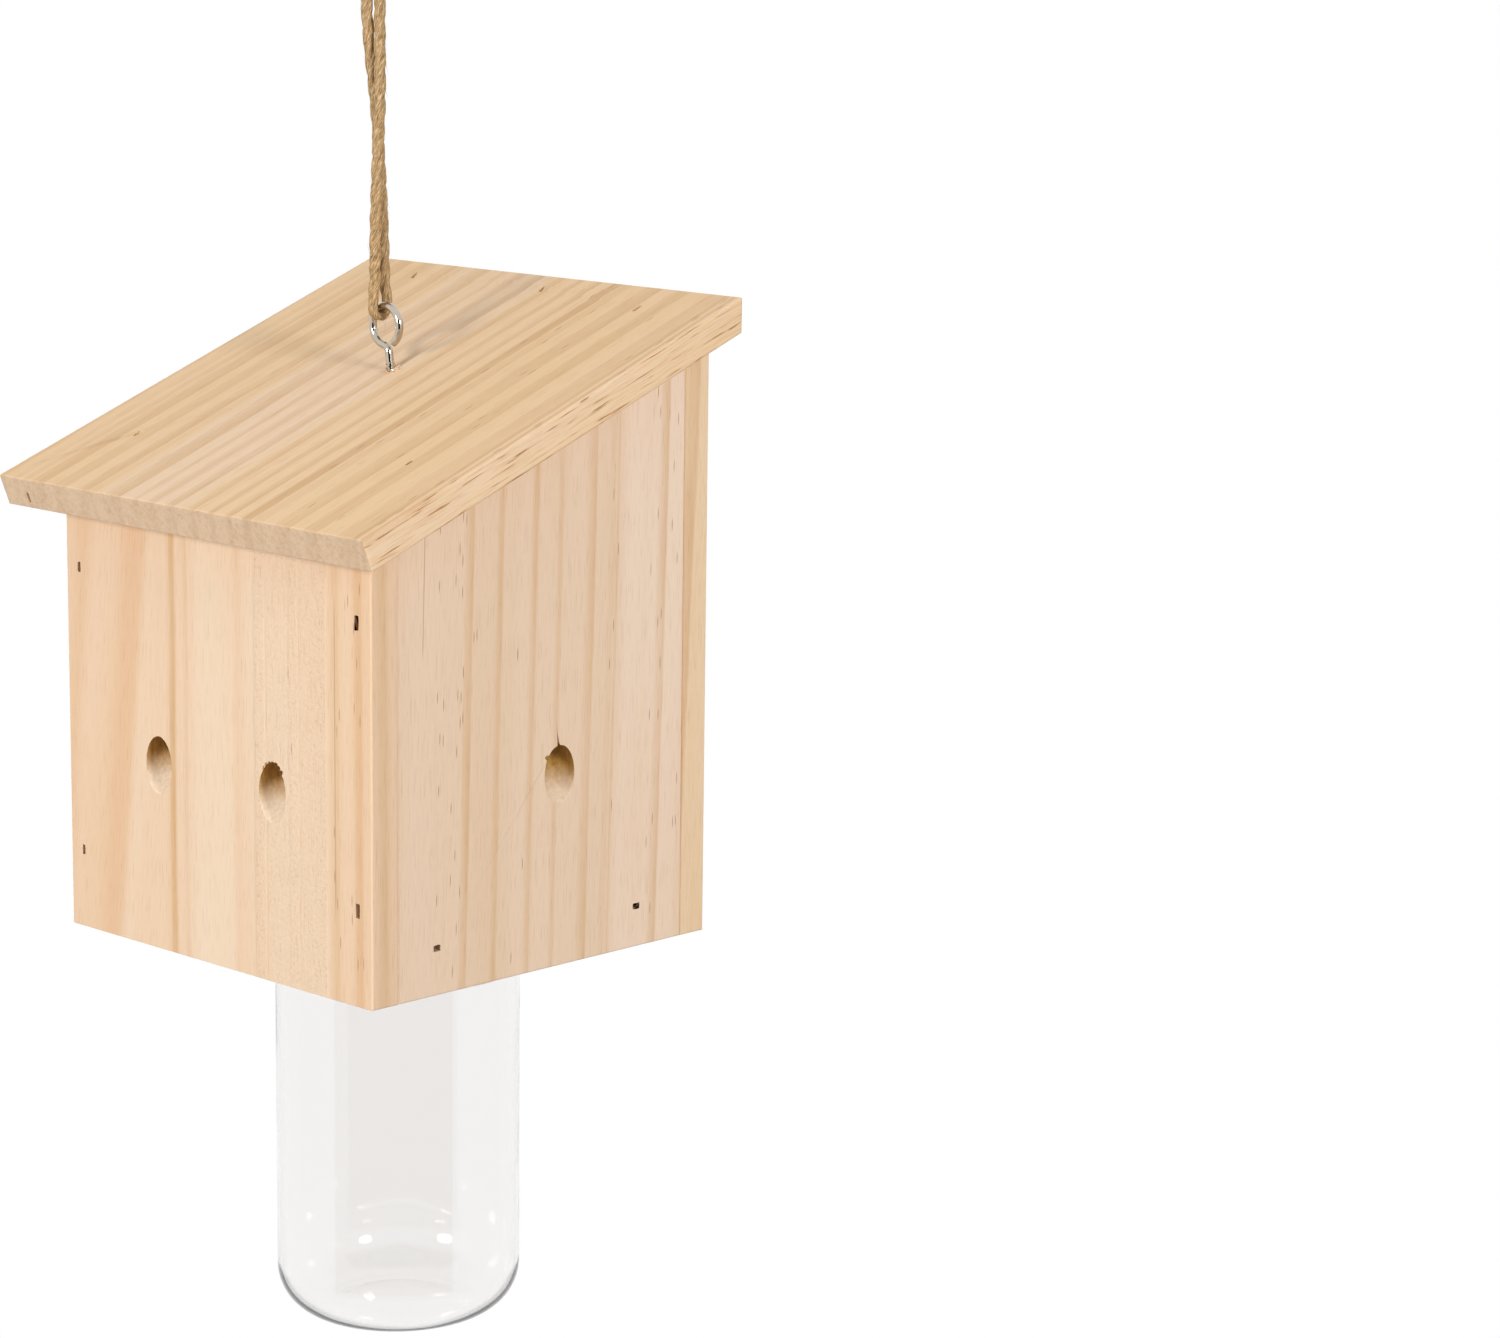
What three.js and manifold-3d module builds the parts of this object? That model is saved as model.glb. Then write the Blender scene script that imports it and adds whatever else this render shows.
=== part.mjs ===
import * as THREE from 'three';
import { mergeVertices, toCreasedNormals } from 'three/addons/utils/BufferGeometryUtils.js';
import Module from 'manifold-3d';

// Carpenter bee trap: a pine box with a sloping roof, hung on doubled jute twine through a
// screw eye, with a clear screw jar held under its floor by the jar's own lid.
// Millimetres, +Z up, the low side of the roof towards -Y.
// The origin is where a hook bears, in the fork of the twine under its knot.

const degree = Math.PI / 180;

// Clearances
const seat_gap = 0.3; // left between pieces that rest on each other
const overrun = 2; // how far a cutter runs past the face it opens

// Box
const board = 10; // thickness of every board
const box_width = 140;
const box_depth = 135;
const front_height = 134; // outer face of the front panel, up to the roof
const arris = 0.4; // eased edges of the boards

// Roof
const roof_slope = 21 * degree;
const roof_side_overhang = 13.5;
const roof_front_overhang = 14.5; // level distance from the front panel to the top front edge

// Floor, set up inside the walls
const floor_recess = 8.5; // walls' lower edge to the floor's underside
const floor_side_gap = 0.3;

// Bee tunnels, drilled upwards through the walls
const tunnel_diameter = 12;
const tunnel_rise = 47 * degree;
const tunnel_cutter_length = 60;
const front_tunnel_spread = 26.3; // either side of the middle of the front
const front_tunnel_height = 56.6; // middle of the mouth above the walls' lower edge
const side_tunnel_setback = 5.9; // behind the middle of the side
const side_tunnel_height = 58.4;

// Way down from the box into the jar, through the floor and the lid
const drop_hole_diameter = 32;

// Brads: strip-cut wire nails, driven below the surface
const brad_thickness = 1.25;
const brad_width = 1;
const brad_length = 25;
const brad_tip = 1.6;
const brad_head_width = 2;
const brad_head_height = 0.9;
const brad_sink = 1.4; // surface to the top of the head
const brad_gap = 0.2;
const driver_slot_length = 4; // mark of the nailer's driver
const end_brad_inset = 6.2; // from the box's corner edge, in the front and back panels
const side_brad_inset = 8.8; // from the side's outer face, where it leaves the roof
const side_brad_lean = 20 * degree; // driven outwards, to reach the side

// Brad places. Heights are shares of the front's height, above the walls' lower edge
const end_brad_shares = [
  { hand: -1, height_share: 0.836 },
  { hand: 1, height_share: 0.836 },
  { hand: -1, height_share: 0.181 },
  { hand: 1, height_share: 0.212 },
];
// Along the side from its middle, in shares of the box's depth, and up the floor's edge,
// in shares of the board
const floor_brad_shares = [
  { along_share: -0.317, rise_share: 0.57 },
  { along_share: 0.283, rise_share: 0.42 },
];
// Along the back panel, in shares of the box's width. Each enters the panel's upper edge in
// front of its outer face, in shares of the board, raked from plumb by a share of the slope
const roof_back_brad_shares = [
  { along_share: -0.382, entry_share: 0.88, rake_share: 0 },
  { along_share: 0.037, entry_share: 0.83, rake_share: 0 },
  { along_share: 0.371, entry_share: 0.89, rake_share: 1.2 },
];
// Over the left side, in shares of the box's depth
const roof_side_brad_shares = [-0.367];

// Screw eye
const eye_wire = 2.4;
const eye_ring_radius = 6; // to the middle of the wire
const eye_bend_radius = 2.5; // where the shank turns into the ring
const eye_ring_height = 13.5; // roof to the middle of the ring
const eye_closing_angle = -66 * degree; // where the ring's free end stops
const eye_screw_length = 15; // below the roof's surface
const eye_point = 3;
const eye_lean = 6 * degree; // the shank stands a little out of plumb
const eye_sideways = -1.3; // from the middle of the box
const balance_line = 3; // distance behind the middle of the box at which it hangs level

// Twine
const twine_diameter = 3.5;
const twine_self_gap = 0.45; // between the two legs
const twine_wire_gap = 0.55; // between the bight and the eye's wire
const twine_drop = 114; // hook to the middle of the eye's wire
const twine_lean_side = 2; // the twine's top stands this far from plumb over the eye
const twine_lean_front = 2.2;
const twine_twist = 1.47 * degree; // turn of the two legs round each other, per millimetre
const twine_start_angle = 90 * degree; // the bight passes the ring from front to back
const leg_step = 5; // height between the points of the twine's route
const bight_steps = 6;
const twine_closing = 8; // height over which the legs draw together above the eye
const fork_length = 20; // opening for a hook, under the knot
const fork_crown = 4; // hook to the fork's upper end
const fork_half_width = 4.9;
const knot_lead = 3; // the legs run side by side into the knot
const knot_length = 12;
const knot_radius = 5.2;
const knot_waist_radius = 4.4;
const knot_wraps = 2;
const tail_length = 13; // beyond the knot
const tail_inset = 2.2; // knot's middle to where a tail leaves it
const tail_spread = 4;

// Lid, screwed up under the floor
const lid_wall = 1.7;
const lid_panel = 1.5;
const lid_height = 14;
const lid_chamfer = 1;
const lid_rib_depth = 0.5; // proud of the skirt, and as much again inside it
const lid_rib_width = 1;
const lid_rib_count = 60;
const lid_rib_length = 11;
const jar_sideways = 1.9; // the lid sits a little off the middle of the floor
const jar_setback = 2.2;

// Lid screws, pan head
const lid_screw_count = 3;
const lid_screw_circle = 46; // diameter
const lid_screw_shank = 2.8;
const lid_screw_head = 5.8;
const lid_screw_head_height = 2;
const lid_screw_head_rounding = 1;
const lid_screw_length = 9; // under the head
const lid_screw_point = 1.5;

// Liner, a foam ring between the lid and the jar's rim
const liner_thickness = 1;
const liner_width = 5;

// Jar
const jar_radius = 37.75;
const jar_wall = 1.2;
const jar_base = 1.8;
const jar_length = 127.6;
const jar_heel = 12; // radius of the rounded heel
const jar_push_up = 2; // rise of the middle of the base
const jar_push_up_radius = 22;
const push_up_half_way_share = 0.75; // its rise half way out from the middle
const jar_neck_radius = 34.6;
const jar_neck_length = 11.5;
const jar_neck_wall = 1.6;
const jar_neck_gap = 0.45; // plain neck to plain skirt, where the threads run
const jar_shoulder = 4.5; // height of the shoulder below the neck
const shoulder_crown_share = 0.25; // of the shoulder's width, still to go at half its height

// Facets
const hole_sides = 40;
const wire_sides = 12;
const wire_steps = 72;
const twine_sides = 8;
const twine_steps = 80;
const tail_steps = 6;
const round_sides = 72;
const screw_sides = 16;
const arc_steps = 7;
const crease = 30 * degree; // faces that meet more sharply show an edge

// Materials
function finish(color, roughness, metalness) {
  return new THREE.MeshStandardMaterial({ color, roughness, metalness });
}
const pine = finish(0xe6c7a0, 0.65, 0);
const pine_front = finish(0xf0cfa6, 0.65, 0);
const pine_side = finish(0xe4c5a8, 0.65, 0);
const bright_steel = finish(0xc9c9c6, 0.25, 1);
const brad_steel = finish(0x6e665c, 0.5, 1);
const jute = finish(0xb4905f, 0.9, 0);
const white_plastic = finish(0xeeeeea, 0.45, 0);
const foam = finish(0xf4f4f2, 0.8, 0);
const clear_plastic = finish(0xf2f2f0, 0.08, 0);
clear_plastic.transparent = true;
clear_plastic.opacity = 0.3;

// Solid modelling
const wasm = await Module();
wasm.setup();

function solid_of(geometry) {
  const bare = geometry.clone();
  bare.deleteAttribute('normal');
  bare.deleteAttribute('uv');
  const merged = mergeVertices(bare);
  return new wasm.Manifold(new wasm.Mesh({
    numProp: 3,
    vertProperties: new Float32Array(merged.attributes.position.array),
    triVerts: new Uint32Array(merged.index.array),
  }));
}

function geometry_of(solid) {
  const { vertProperties, triVerts } = solid.getMesh();
  const geometry = new THREE.BufferGeometry();
  geometry.setAttribute('position', new THREE.BufferAttribute(vertProperties, 3));
  geometry.setIndex(new THREE.BufferAttribute(triVerts, 1));
  return toCreasedNormals(geometry, crease);
}

function joined(geometries) {
  const solids = geometries.map(solid_of);
  return geometry_of(solids.reduce((whole, piece) => whole.add(piece)));
}

// Takes a cutter, placed in the same scene, out of each piece
function carve(pieces, cutter) {
  trap.updateMatrixWorld(true);
  for (const piece of pieces) {
    const to_piece = piece.matrixWorld.clone().invert().multiply(cutter.matrixWorld);
    const tool = cutter.geometry.clone().applyMatrix4(to_piece);
    piece.geometry = geometry_of(solid_of(piece.geometry).subtract(solid_of(tool)));
  }
}

function place(parent, name, geometry, material, position = [0, 0, 0]) {
  const mesh = new THREE.Mesh(geometry, material);
  mesh.name = name;
  mesh.position.set(...position);
  parent.add(mesh);
  return mesh;
}

function group(parent, position, rotation = [0, 0, 0]) {
  const made = new THREE.Group();
  made.position.set(...position);
  made.rotation.set(...rotation);
  parent.add(made);
  return made;
}

function cut_with(pieces, parent, geometry, position = [0, 0, 0], rotation = [0, 0, 0]) {
  const cutter = place(parent, 'cutter', geometry, pine, position);
  cutter.rotation.set(...rotation);
  carve(pieces, cutter);
  cutter.removeFromParent();
}

// A rod along Z from low to high
function rod(radius, low, high, sides) {
  const geometry = new THREE.CylinderGeometry(radius, radius, high - low, sides);
  geometry.rotateX(90 * degree);
  geometry.translate(0, 0, (low + high) / 2);
  return geometry;
}

// Whole scene
const trap = new THREE.Group();

const eye_top = eye_ring_height + eye_ring_radius; // roof to the wire that the twine bears on
const roof_top_rise = board / Math.cos(roof_slope);
const eye_setback = balance_line;

function roof_underside(y) {
  return front_height + (y + box_depth / 2) * Math.tan(roof_slope);
}

const eye_foot_height = roof_underside(eye_setback) + seat_gap + roof_top_rise;
const ring_shift = -eye_ring_height * Math.sin(eye_lean);
const ring_drop = eye_ring_height * (1 - Math.cos(eye_lean));

// The house hangs in its own frame: middle of the box, walls' lower edge at 0
const house = group(trap, [
  twine_lean_side - eye_sideways - ring_shift,
  twine_lean_front - eye_setback,
  -twine_drop - eye_foot_height - eye_top + ring_drop,
]);

// Boards: an outline in Y and Z with eased edges, extruded along X about the middle
function board_piece(name, outline, width, material, position = [0, 0, 0]) {
  const shape = new THREE.Shape(outline.map(([y, z]) => new THREE.Vector2(y, z)));
  const geometry = new THREE.ExtrudeGeometry(shape, {
    depth: width - 2 * arris,
    bevelThickness: arris,
    bevelSize: arris,
    bevelOffset: -arris,
    bevelSegments: 1,
  });
  geometry.translate(0, 0, arris - width / 2);
  const to_board = new THREE.Matrix4().makeBasis(
    new THREE.Vector3(0, 1, 0),
    new THREE.Vector3(0, 0, 1),
    new THREE.Vector3(1, 0, 0),
  );
  geometry.applyMatrix4(to_board);
  return place(house, name, geometry, material, position);
}

function upright_outline(front_y, back_y) {
  return [
    [front_y, 0],
    [back_y, 0],
    [back_y, roof_underside(back_y)],
    [front_y, roof_underside(front_y)],
  ];
}

const front_y = -box_depth / 2;
const back_y = box_depth / 2;
const front_panel = board_piece(
  'front_panel', upright_outline(front_y, front_y + board), box_width, pine_front);
const back_panel = board_piece(
  'back_panel', upright_outline(back_y - board, back_y), box_width, pine);

const side_outline = upright_outline(front_y + board + seat_gap, back_y - board - seat_gap);
const side_x = (box_width - board) / 2;
const left_side = board_piece('left_side', side_outline, board, pine_side, [-side_x, 0, 0]);
const right_side = board_piece('right_side', side_outline, board, pine_side, [side_x, 0, 0]);

const floor_y = back_y - board - floor_side_gap;
const floor_width = box_width - 2 * board - 2 * floor_side_gap;
const floor_board = board_piece('floor_board', [
  [-floor_y, 0],
  [floor_y, 0],
  [floor_y, board],
  [-floor_y, board],
], floor_width, pine, [0, 0, floor_recess]);

// Roof: sawn square at the front, plumb at the back, where it ends flush with the box
const roof_front_y = front_y - roof_front_overhang + board * Math.sin(roof_slope);
const roof_length = (back_y - roof_front_y) / Math.cos(roof_slope);
const roof = board_piece('roof_board', [
  [0, 0],
  [roof_length, 0],
  [roof_length + board * Math.tan(roof_slope), board],
  [0, board],
], box_width + 2 * roof_side_overhang, pine);
roof.position.set(0, roof_front_y, roof_underside(roof_front_y) + seat_gap);
roof.rotation.x = roof_slope;

// Faces: X runs along the face, -Y points out of it, Z up from the walls' lower edge
const front_face = group(house, [0, front_y, 0]);
const right_face = group(house, [box_width / 2, 0, 0], [0, 0, 90 * degree]);
const left_face = group(house, [-box_width / 2, 0, 0], [0, 0, -90 * degree]);
const back_face = group(house, [0, back_y, 0], [0, 0, 180 * degree]);

// Bee tunnels
function drill_tunnel(wall, face, along, height) {
  const bit = new THREE.CylinderGeometry(
    tunnel_diameter / 2, tunnel_diameter / 2, tunnel_cutter_length, hole_sides);
  cut_with([wall], face, bit, [along, 0, height], [tunnel_rise, 0, 0]);
}

drill_tunnel(front_panel, front_face, -front_tunnel_spread, front_tunnel_height);
drill_tunnel(front_panel, front_face, front_tunnel_spread, front_tunnel_height);
drill_tunnel(right_side, right_face, side_tunnel_setback, side_tunnel_height);
drill_tunnel(left_side, left_face, -side_tunnel_setback, side_tunnel_height);

// Brads: the head lies along the slot that the driver leaves
function brad_outline(head_half, shank_half, top, head_low, tip_high, low) {
  return new THREE.Shape([
    new THREE.Vector2(-head_half, top),
    new THREE.Vector2(-head_half, head_low),
    new THREE.Vector2(-shank_half, head_low),
    new THREE.Vector2(-shank_half, tip_high),
    new THREE.Vector2(0, low),
    new THREE.Vector2(shank_half, tip_high),
    new THREE.Vector2(shank_half, head_low),
    new THREE.Vector2(head_half, head_low),
    new THREE.Vector2(head_half, top),
  ]);
}

function strip_cut(outline, thickness) {
  const geometry = new THREE.ExtrudeGeometry(outline, { depth: thickness, bevelEnabled: false });
  geometry.translate(0, 0, -thickness / 2);
  geometry.rotateX(90 * degree);
  geometry.rotateZ(90 * degree);
  return geometry;
}

const brad_shape = strip_cut(brad_outline(
  brad_head_width / 2, brad_width / 2,
  -brad_sink, -brad_sink - brad_head_height, -brad_length + brad_tip, -brad_length,
), brad_thickness);
const brad_hole = strip_cut(brad_outline(
  driver_slot_length / 2, brad_width / 2 + brad_gap,
  overrun, -brad_sink - brad_head_height - brad_gap,
  -brad_length + brad_tip - brad_gap, -brad_length - 2 * brad_gap,
), brad_thickness + 2 * brad_gap);

// Drives a brad against +Z of its own frame, its slot along Y
function drive_brad(name, face, position, rotation, boards) {
  const seat = group(face, position, rotation);
  place(seat, name, brad_shape.clone(), brad_steel);
  cut_with(boards, seat, brad_hole);
}

// Front and back brads, into the ends of the sides
for (const [face, label, panel] of [
  [front_face, 'front', front_panel],
  [back_face, 'back', back_panel],
]) {
  end_brad_shares.forEach(({ hand, height_share }, i) => {
    const at = [hand * (box_width / 2 - end_brad_inset), 0, height_share * front_height];
    const side = (hand < 0) === (face === front_face) ? left_side : right_side;
    drive_brad(`${label}_brad_${i + 1}`, face, at, [90 * degree, 0, 0], [panel, side]);
  });
}

// Side brads, into the edges of the floor, with their slots level
for (const [face, label, side, hand] of [
  [right_face, 'right', right_side, 1],
  [left_face, 'left', left_side, -1],
]) {
  floor_brad_shares.forEach(({ along_share, rise_share }, i) => {
    const at = [hand * along_share * box_depth, 0, floor_recess + rise_share * board];
    const level = group(face, at, [90 * degree, 0, 0]);
    drive_brad(`${label}_floor_brad_${i + 1}`, level, [0, 0, 0], [0, 0, 90 * degree],
      [side, floor_board]);
  });
}

// Roof brads: a row into the back panel's upper edge and one into the left side's.
// X and Y are where each leaves the roof's underside
const roof_face = group(roof, [0, 0, board]);
const roof_brads = [
  ...roof_back_brad_shares.map(({ along_share, entry_share, rake_share }) => ({
    x: along_share * box_width,
    y: back_y - entry_share * board,
    rake: rake_share * roof_slope,
    lean: 0,
    into: back_panel,
  })),
  ...roof_side_brad_shares.map((share) => ({
    x: side_brad_inset - box_width / 2,
    y: share * box_depth,
    rake: 0,
    lean: side_brad_lean,
    into: left_side,
  })),
];
roof_brads.forEach(({ x, y, rake, lean, into }, i) => {
  const tilt = roof_slope - rake; // from square to the roof
  const across = x + board / Math.cos(roof_slope) * Math.tan(lean);
  const along = (y - roof_front_y) / Math.cos(roof_slope) + board * Math.tan(tilt);
  drive_brad(`roof_brad_${i + 1}`, roof_face, [across, along, 0], [-tilt, lean, 0],
    [roof, into]);
});

// Screw eye: one wire, up the shank, out to the left and clockwise round the ring.
// Its frame stands on the roof; the ring lies in X and Z.
class EyeWire extends THREE.Curve {
  constructor() {
    super();
    this.reach = eye_ring_radius + eye_bend_radius;
    this.bend_height = eye_ring_height - Math.sqrt(this.reach ** 2 - eye_bend_radius ** 2);
    this.bend_angle = Math.acos(eye_bend_radius / this.reach);
    this.shank_length = eye_screw_length - eye_point + this.bend_height;
    this.bend_length = eye_bend_radius * this.bend_angle;
    this.ring_start = this.bend_angle - 180 * degree;
    this.ring_turn = 360 * degree + this.ring_start - eye_closing_angle;
    this.ring_length = eye_ring_radius * this.ring_turn;
  }

  getPoint(t, target = new THREE.Vector3()) {
    const total = this.shank_length + this.bend_length + this.ring_length;
    let way = t * total;
    if (way < this.shank_length) {
      return target.set(0, 0, way - eye_screw_length + eye_point);
    }
    way -= this.shank_length;
    if (way < this.bend_length) {
      const a = way / eye_bend_radius;
      return target.set(
        eye_bend_radius * (Math.cos(a) - 1), 0, this.bend_height + eye_bend_radius * Math.sin(a));
    }
    way -= this.bend_length;
    const a = this.ring_start - way / eye_ring_radius;
    return target.set(
      eye_ring_radius * Math.cos(a), 0, eye_ring_height + eye_ring_radius * Math.sin(a));
  }
}

function circle_shape(radius, sides) {
  const points = [];
  for (let i = 0; i < sides; i++) {
    const a = (i / sides) * 360 * degree;
    points.push(new THREE.Vector2(radius * Math.cos(a), radius * Math.sin(a)));
  }
  return new THREE.Shape(points);
}

const eye_wire_geometry = new THREE.ExtrudeGeometry(circle_shape(eye_wire / 2, wire_sides), {
  steps: wire_steps,
  extrudePath: new EyeWire(),
});
const eye_point_geometry = new THREE.ConeGeometry(eye_wire / 2, eye_point + seat_gap, wire_sides);
eye_point_geometry.rotateX(-90 * degree);
eye_point_geometry.translate(0, 0, (eye_point + seat_gap) / 2 - eye_screw_length);

const eye_seat = group(
  house, [eye_sideways, eye_setback, eye_foot_height], [0, -eye_lean, 0]);
place(eye_seat, 'screw_eye', joined([eye_wire_geometry, eye_point_geometry]), bright_steel);
cut_with([roof], eye_seat,
  rod(eye_wire / 2 + seat_gap, -eye_screw_length - overrun, eye_ring_height / 2, hole_sides));

// Lid, liner and jar share one upright axis under the floor; 0 is the lid's top
const jar_axis = group(house, [jar_sideways, jar_setback, floor_recess - seat_gap]);
const lid_inner_radius = jar_neck_radius + jar_neck_gap;
const lid_outer_radius = lid_inner_radius + lid_wall;
const drop_radius = drop_hole_diameter / 2;

function lathe(points, sides) {
  const profile = points.map(([r, z]) => new THREE.Vector2(r, z));
  const geometry = new THREE.LatheGeometry(profile, sides);
  geometry.rotateX(90 * degree);
  return geometry;
}

cut_with([floor_board], jar_axis, rod(drop_radius, -overrun, board + 2 * overrun, hole_sides));

function lid_geometry() {
  const cup = lathe([
    [drop_radius, 0],
    [drop_radius, -lid_panel],
    [lid_inner_radius, -lid_panel],
    [lid_inner_radius, -lid_height],
    [lid_outer_radius, -lid_height],
    [lid_outer_radius, -lid_chamfer],
    [lid_outer_radius - lid_chamfer, 0],
    [drop_radius, 0],
  ], round_sides);
  const ribs = [];
  for (let i = 0; i < lid_rib_count; i++) {
    const rib = new THREE.BoxGeometry(lid_rib_depth * 2, lid_rib_width, lid_rib_length);
    rib.translate(lid_outer_radius, 0, lid_rib_length / 2 - lid_height);
    rib.rotateZ((i / lid_rib_count) * 360 * degree);
    ribs.push(rib);
  }
  return joined([cup, ...ribs]);
}

const lid = place(jar_axis, 'jar_lid', lid_geometry(), white_plastic);

// Lid screws, driven up through the lid's panel into the floor
const lid_screw_shape = lathe([
  [0, lid_screw_length],
  [lid_screw_shank / 2, lid_screw_length - lid_screw_point],
  [lid_screw_shank / 2, 0],
  [lid_screw_head / 2, 0],
  [lid_screw_head / 2, lid_screw_head_rounding - lid_screw_head_height],
  [lid_screw_head / 2 - lid_screw_head_rounding, -lid_screw_head_height],
  [0, -lid_screw_head_height],
].reverse(), screw_sides);
const lid_screw_hole = rod(
  lid_screw_shank / 2 + seat_gap, -lid_panel, lid_screw_length + seat_gap, screw_sides);
for (let i = 0; i < lid_screw_count; i++) {
  const turn = group(jar_axis, [0, 0, 0], [0, 0, (i / lid_screw_count) * 360 * degree]);
  const seat = group(turn, [lid_screw_circle / 2, 0, -lid_panel - seat_gap]);
  place(seat, `lid_screw_${i + 1}`, lid_screw_shape.clone(), bright_steel);
  cut_with([lid, floor_board], seat, lid_screw_hole);
}

// Liner
const liner_top = -lid_panel - seat_gap;
const liner_outer = lid_inner_radius - seat_gap;
const liner_inner = liner_outer - liner_width;
place(jar_axis, 'lid_liner', lathe([
  [liner_inner, liner_top],
  [liner_inner, liner_top - liner_thickness],
  [liner_outer, liner_top - liner_thickness],
  [liner_outer, liner_top],
  [liner_inner, liner_top],
], round_sides), foam);

// Jar, hanging from its rim; 0 is the rim and the base is at -jar_length
function arc_points(centre_r, centre_z, radius, from, to) {
  const points = [];
  for (let i = 0; i <= arc_steps; i++) {
    const a = from + ((to - from) * i) / arc_steps;
    points.push([centre_r + radius * Math.cos(a), centre_z + radius * Math.sin(a)]);
  }
  return points;
}

function jar_geometry() {
  const neck_low = -jar_neck_length;
  const shoulder_low = neck_low - jar_shoulder;
  const inner_heel = jar_heel - jar_wall;
  const inner_base = jar_base - jar_length;
  const heel_centre = jar_radius - jar_heel;
  const crown_radius = jar_radius - (jar_radius - jar_neck_radius) * shoulder_crown_share;
  const half_way_rise = jar_push_up * push_up_half_way_share;
  return lathe([
    [0, jar_push_up - jar_length],
    [jar_push_up_radius / 2, half_way_rise - jar_length],
    [jar_push_up_radius, -jar_length],
    ...arc_points(heel_centre, jar_heel - jar_length, jar_heel, -90 * degree, 0),
    [jar_radius, shoulder_low],
    [crown_radius, shoulder_low + jar_shoulder / 2],
    [jar_neck_radius, neck_low],
    [jar_neck_radius, 0],
    [jar_neck_radius - jar_neck_wall, 0],
    [jar_neck_radius - jar_neck_wall, neck_low],
    [jar_radius - jar_wall, shoulder_low - jar_wall],
    ...arc_points(heel_centre, inner_heel + inner_base, inner_heel, 0, -90 * degree),
    [jar_push_up_radius, inner_base],
    [jar_push_up_radius / 2, half_way_rise + inner_base],
    [0, jar_push_up + inner_base],
  ], round_sides);
}

place(jar_axis, 'jar', jar_geometry(), clear_plastic,
  [0, 0, liner_top - liner_thickness - seat_gap]);

// Twine: down one leg, through the eye and up the other, the legs turning round each other.
// hand is -1 for the leg in front of the eye and 1 for the one behind it.
const leg_radius = (twine_diameter + twine_self_gap) / 2;
const bight_radius = (eye_wire + twine_diameter) / 2 + twine_wire_gap;
const eye_at = new THREE.Vector3(twine_lean_side, twine_lean_front, -twine_drop);
const fork_top = twine_drop + fork_crown; // heights above the eye's wire
const fork_foot = fork_top - fork_length;
const legs_top = fork_top + knot_lead;

function smooth(t) {
  const c = Math.min(Math.max(t, 0), 1);
  return c * c * (3 - 2 * c);
}

function leg_point(hand, height) {
  const drawn_in = leg_radius + (bight_radius - leg_radius) * (1 - smooth(height / twine_closing));
  const way_up_fork = (height - fork_foot) / fork_length;
  const opened = (fork_half_width - leg_radius) * Math.sin(180 * degree * smooth(way_up_fork)) ** 2;
  const angle = twine_start_angle + twine_twist * Math.min(Math.max(height, 0), fork_foot);
  const radius = drawn_in + opened;
  const share_up = height / twine_drop;
  return new THREE.Vector3(
    eye_at.x * (1 - share_up) + hand * radius * Math.cos(angle),
    eye_at.y * (1 - share_up) + hand * radius * Math.sin(angle),
    eye_at.z + height,
  );
}

function twine_route() {
  const heights = [legs_top, (legs_top + fork_top) / 2];
  for (let height = fork_top; height > leg_step / 2; height -= leg_step) heights.push(height);
  const down = heights.map((height) => leg_point(-1, height));
  const up = heights.map((height) => leg_point(1, height)).reverse();
  const under = [];
  for (let i = 0; i <= bight_steps; i++) {
    const a = 180 * degree * (1 + i / bight_steps);
    under.push(new THREE.Vector3(
      eye_at.x, eye_at.y + bight_radius * Math.cos(a), eye_at.z + bight_radius * Math.sin(a)));
  }
  return [...down, ...under, ...up];
}

const twine_path = new THREE.CatmullRomCurve3(twine_route(), false, 'centripetal');
// Steps follow the route's points, so that the bight gets its share of them
twine_path.getPointAt = twine_path.getPoint;
twine_path.getTangentAt = twine_path.getTangent;
place(trap, 'twine_legs', new THREE.ExtrudeGeometry(circle_shape(twine_diameter / 2, twine_sides), {
  steps: twine_steps,
  extrudePath: twine_path,
}), jute);

// Knot that joins the twine's ends, with its two cut tails
function knot_geometry() {
  const profile = [[0, 0], [knot_waist_radius, 0]];
  const wrap_height = knot_length / knot_wraps;
  for (let i = 0; i < knot_wraps; i++) {
    profile.push([knot_radius, (i + 1 / 2) * wrap_height]);
    profile.push([knot_waist_radius, (i + 1) * wrap_height]);
  }
  profile.push([0, knot_length]);
  const tails = [-1, 1].map((hand) => {
    const bend = new THREE.CatmullRomCurve3([
      new THREE.Vector3(hand * tail_inset, 0, knot_length - twine_diameter / 2),
      new THREE.Vector3(hand * tail_inset, 0, knot_length),
      new THREE.Vector3(hand * (tail_inset + tail_spread / 2), 0, knot_length + tail_length / 2),
      new THREE.Vector3(hand * (tail_inset + tail_spread), 0, knot_length + tail_length),
    ]);
    return new THREE.ExtrudeGeometry(circle_shape(twine_diameter / 2, twine_sides), {
      steps: tail_steps,
      extrudePath: bend,
    });
  });
  return joined([lathe(profile, screw_sides), ...tails]);
}

const knot_share = 1 - legs_top / twine_drop;
const knot_turn = twine_start_angle + twine_twist * fork_foot;
const knot = place(trap, 'twine_knot', knot_geometry(), jute,
  [eye_at.x * knot_share, eye_at.y * knot_share, legs_top + seat_gap - twine_drop]);
knot.rotation.z = knot_turn;

export default trap;
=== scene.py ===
import random
from math import acos, atan2, cos, exp, pi, radians as deg, sin, sqrt, tan

import bmesh
import bpy
from mathutils import Matrix, Vector


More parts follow.
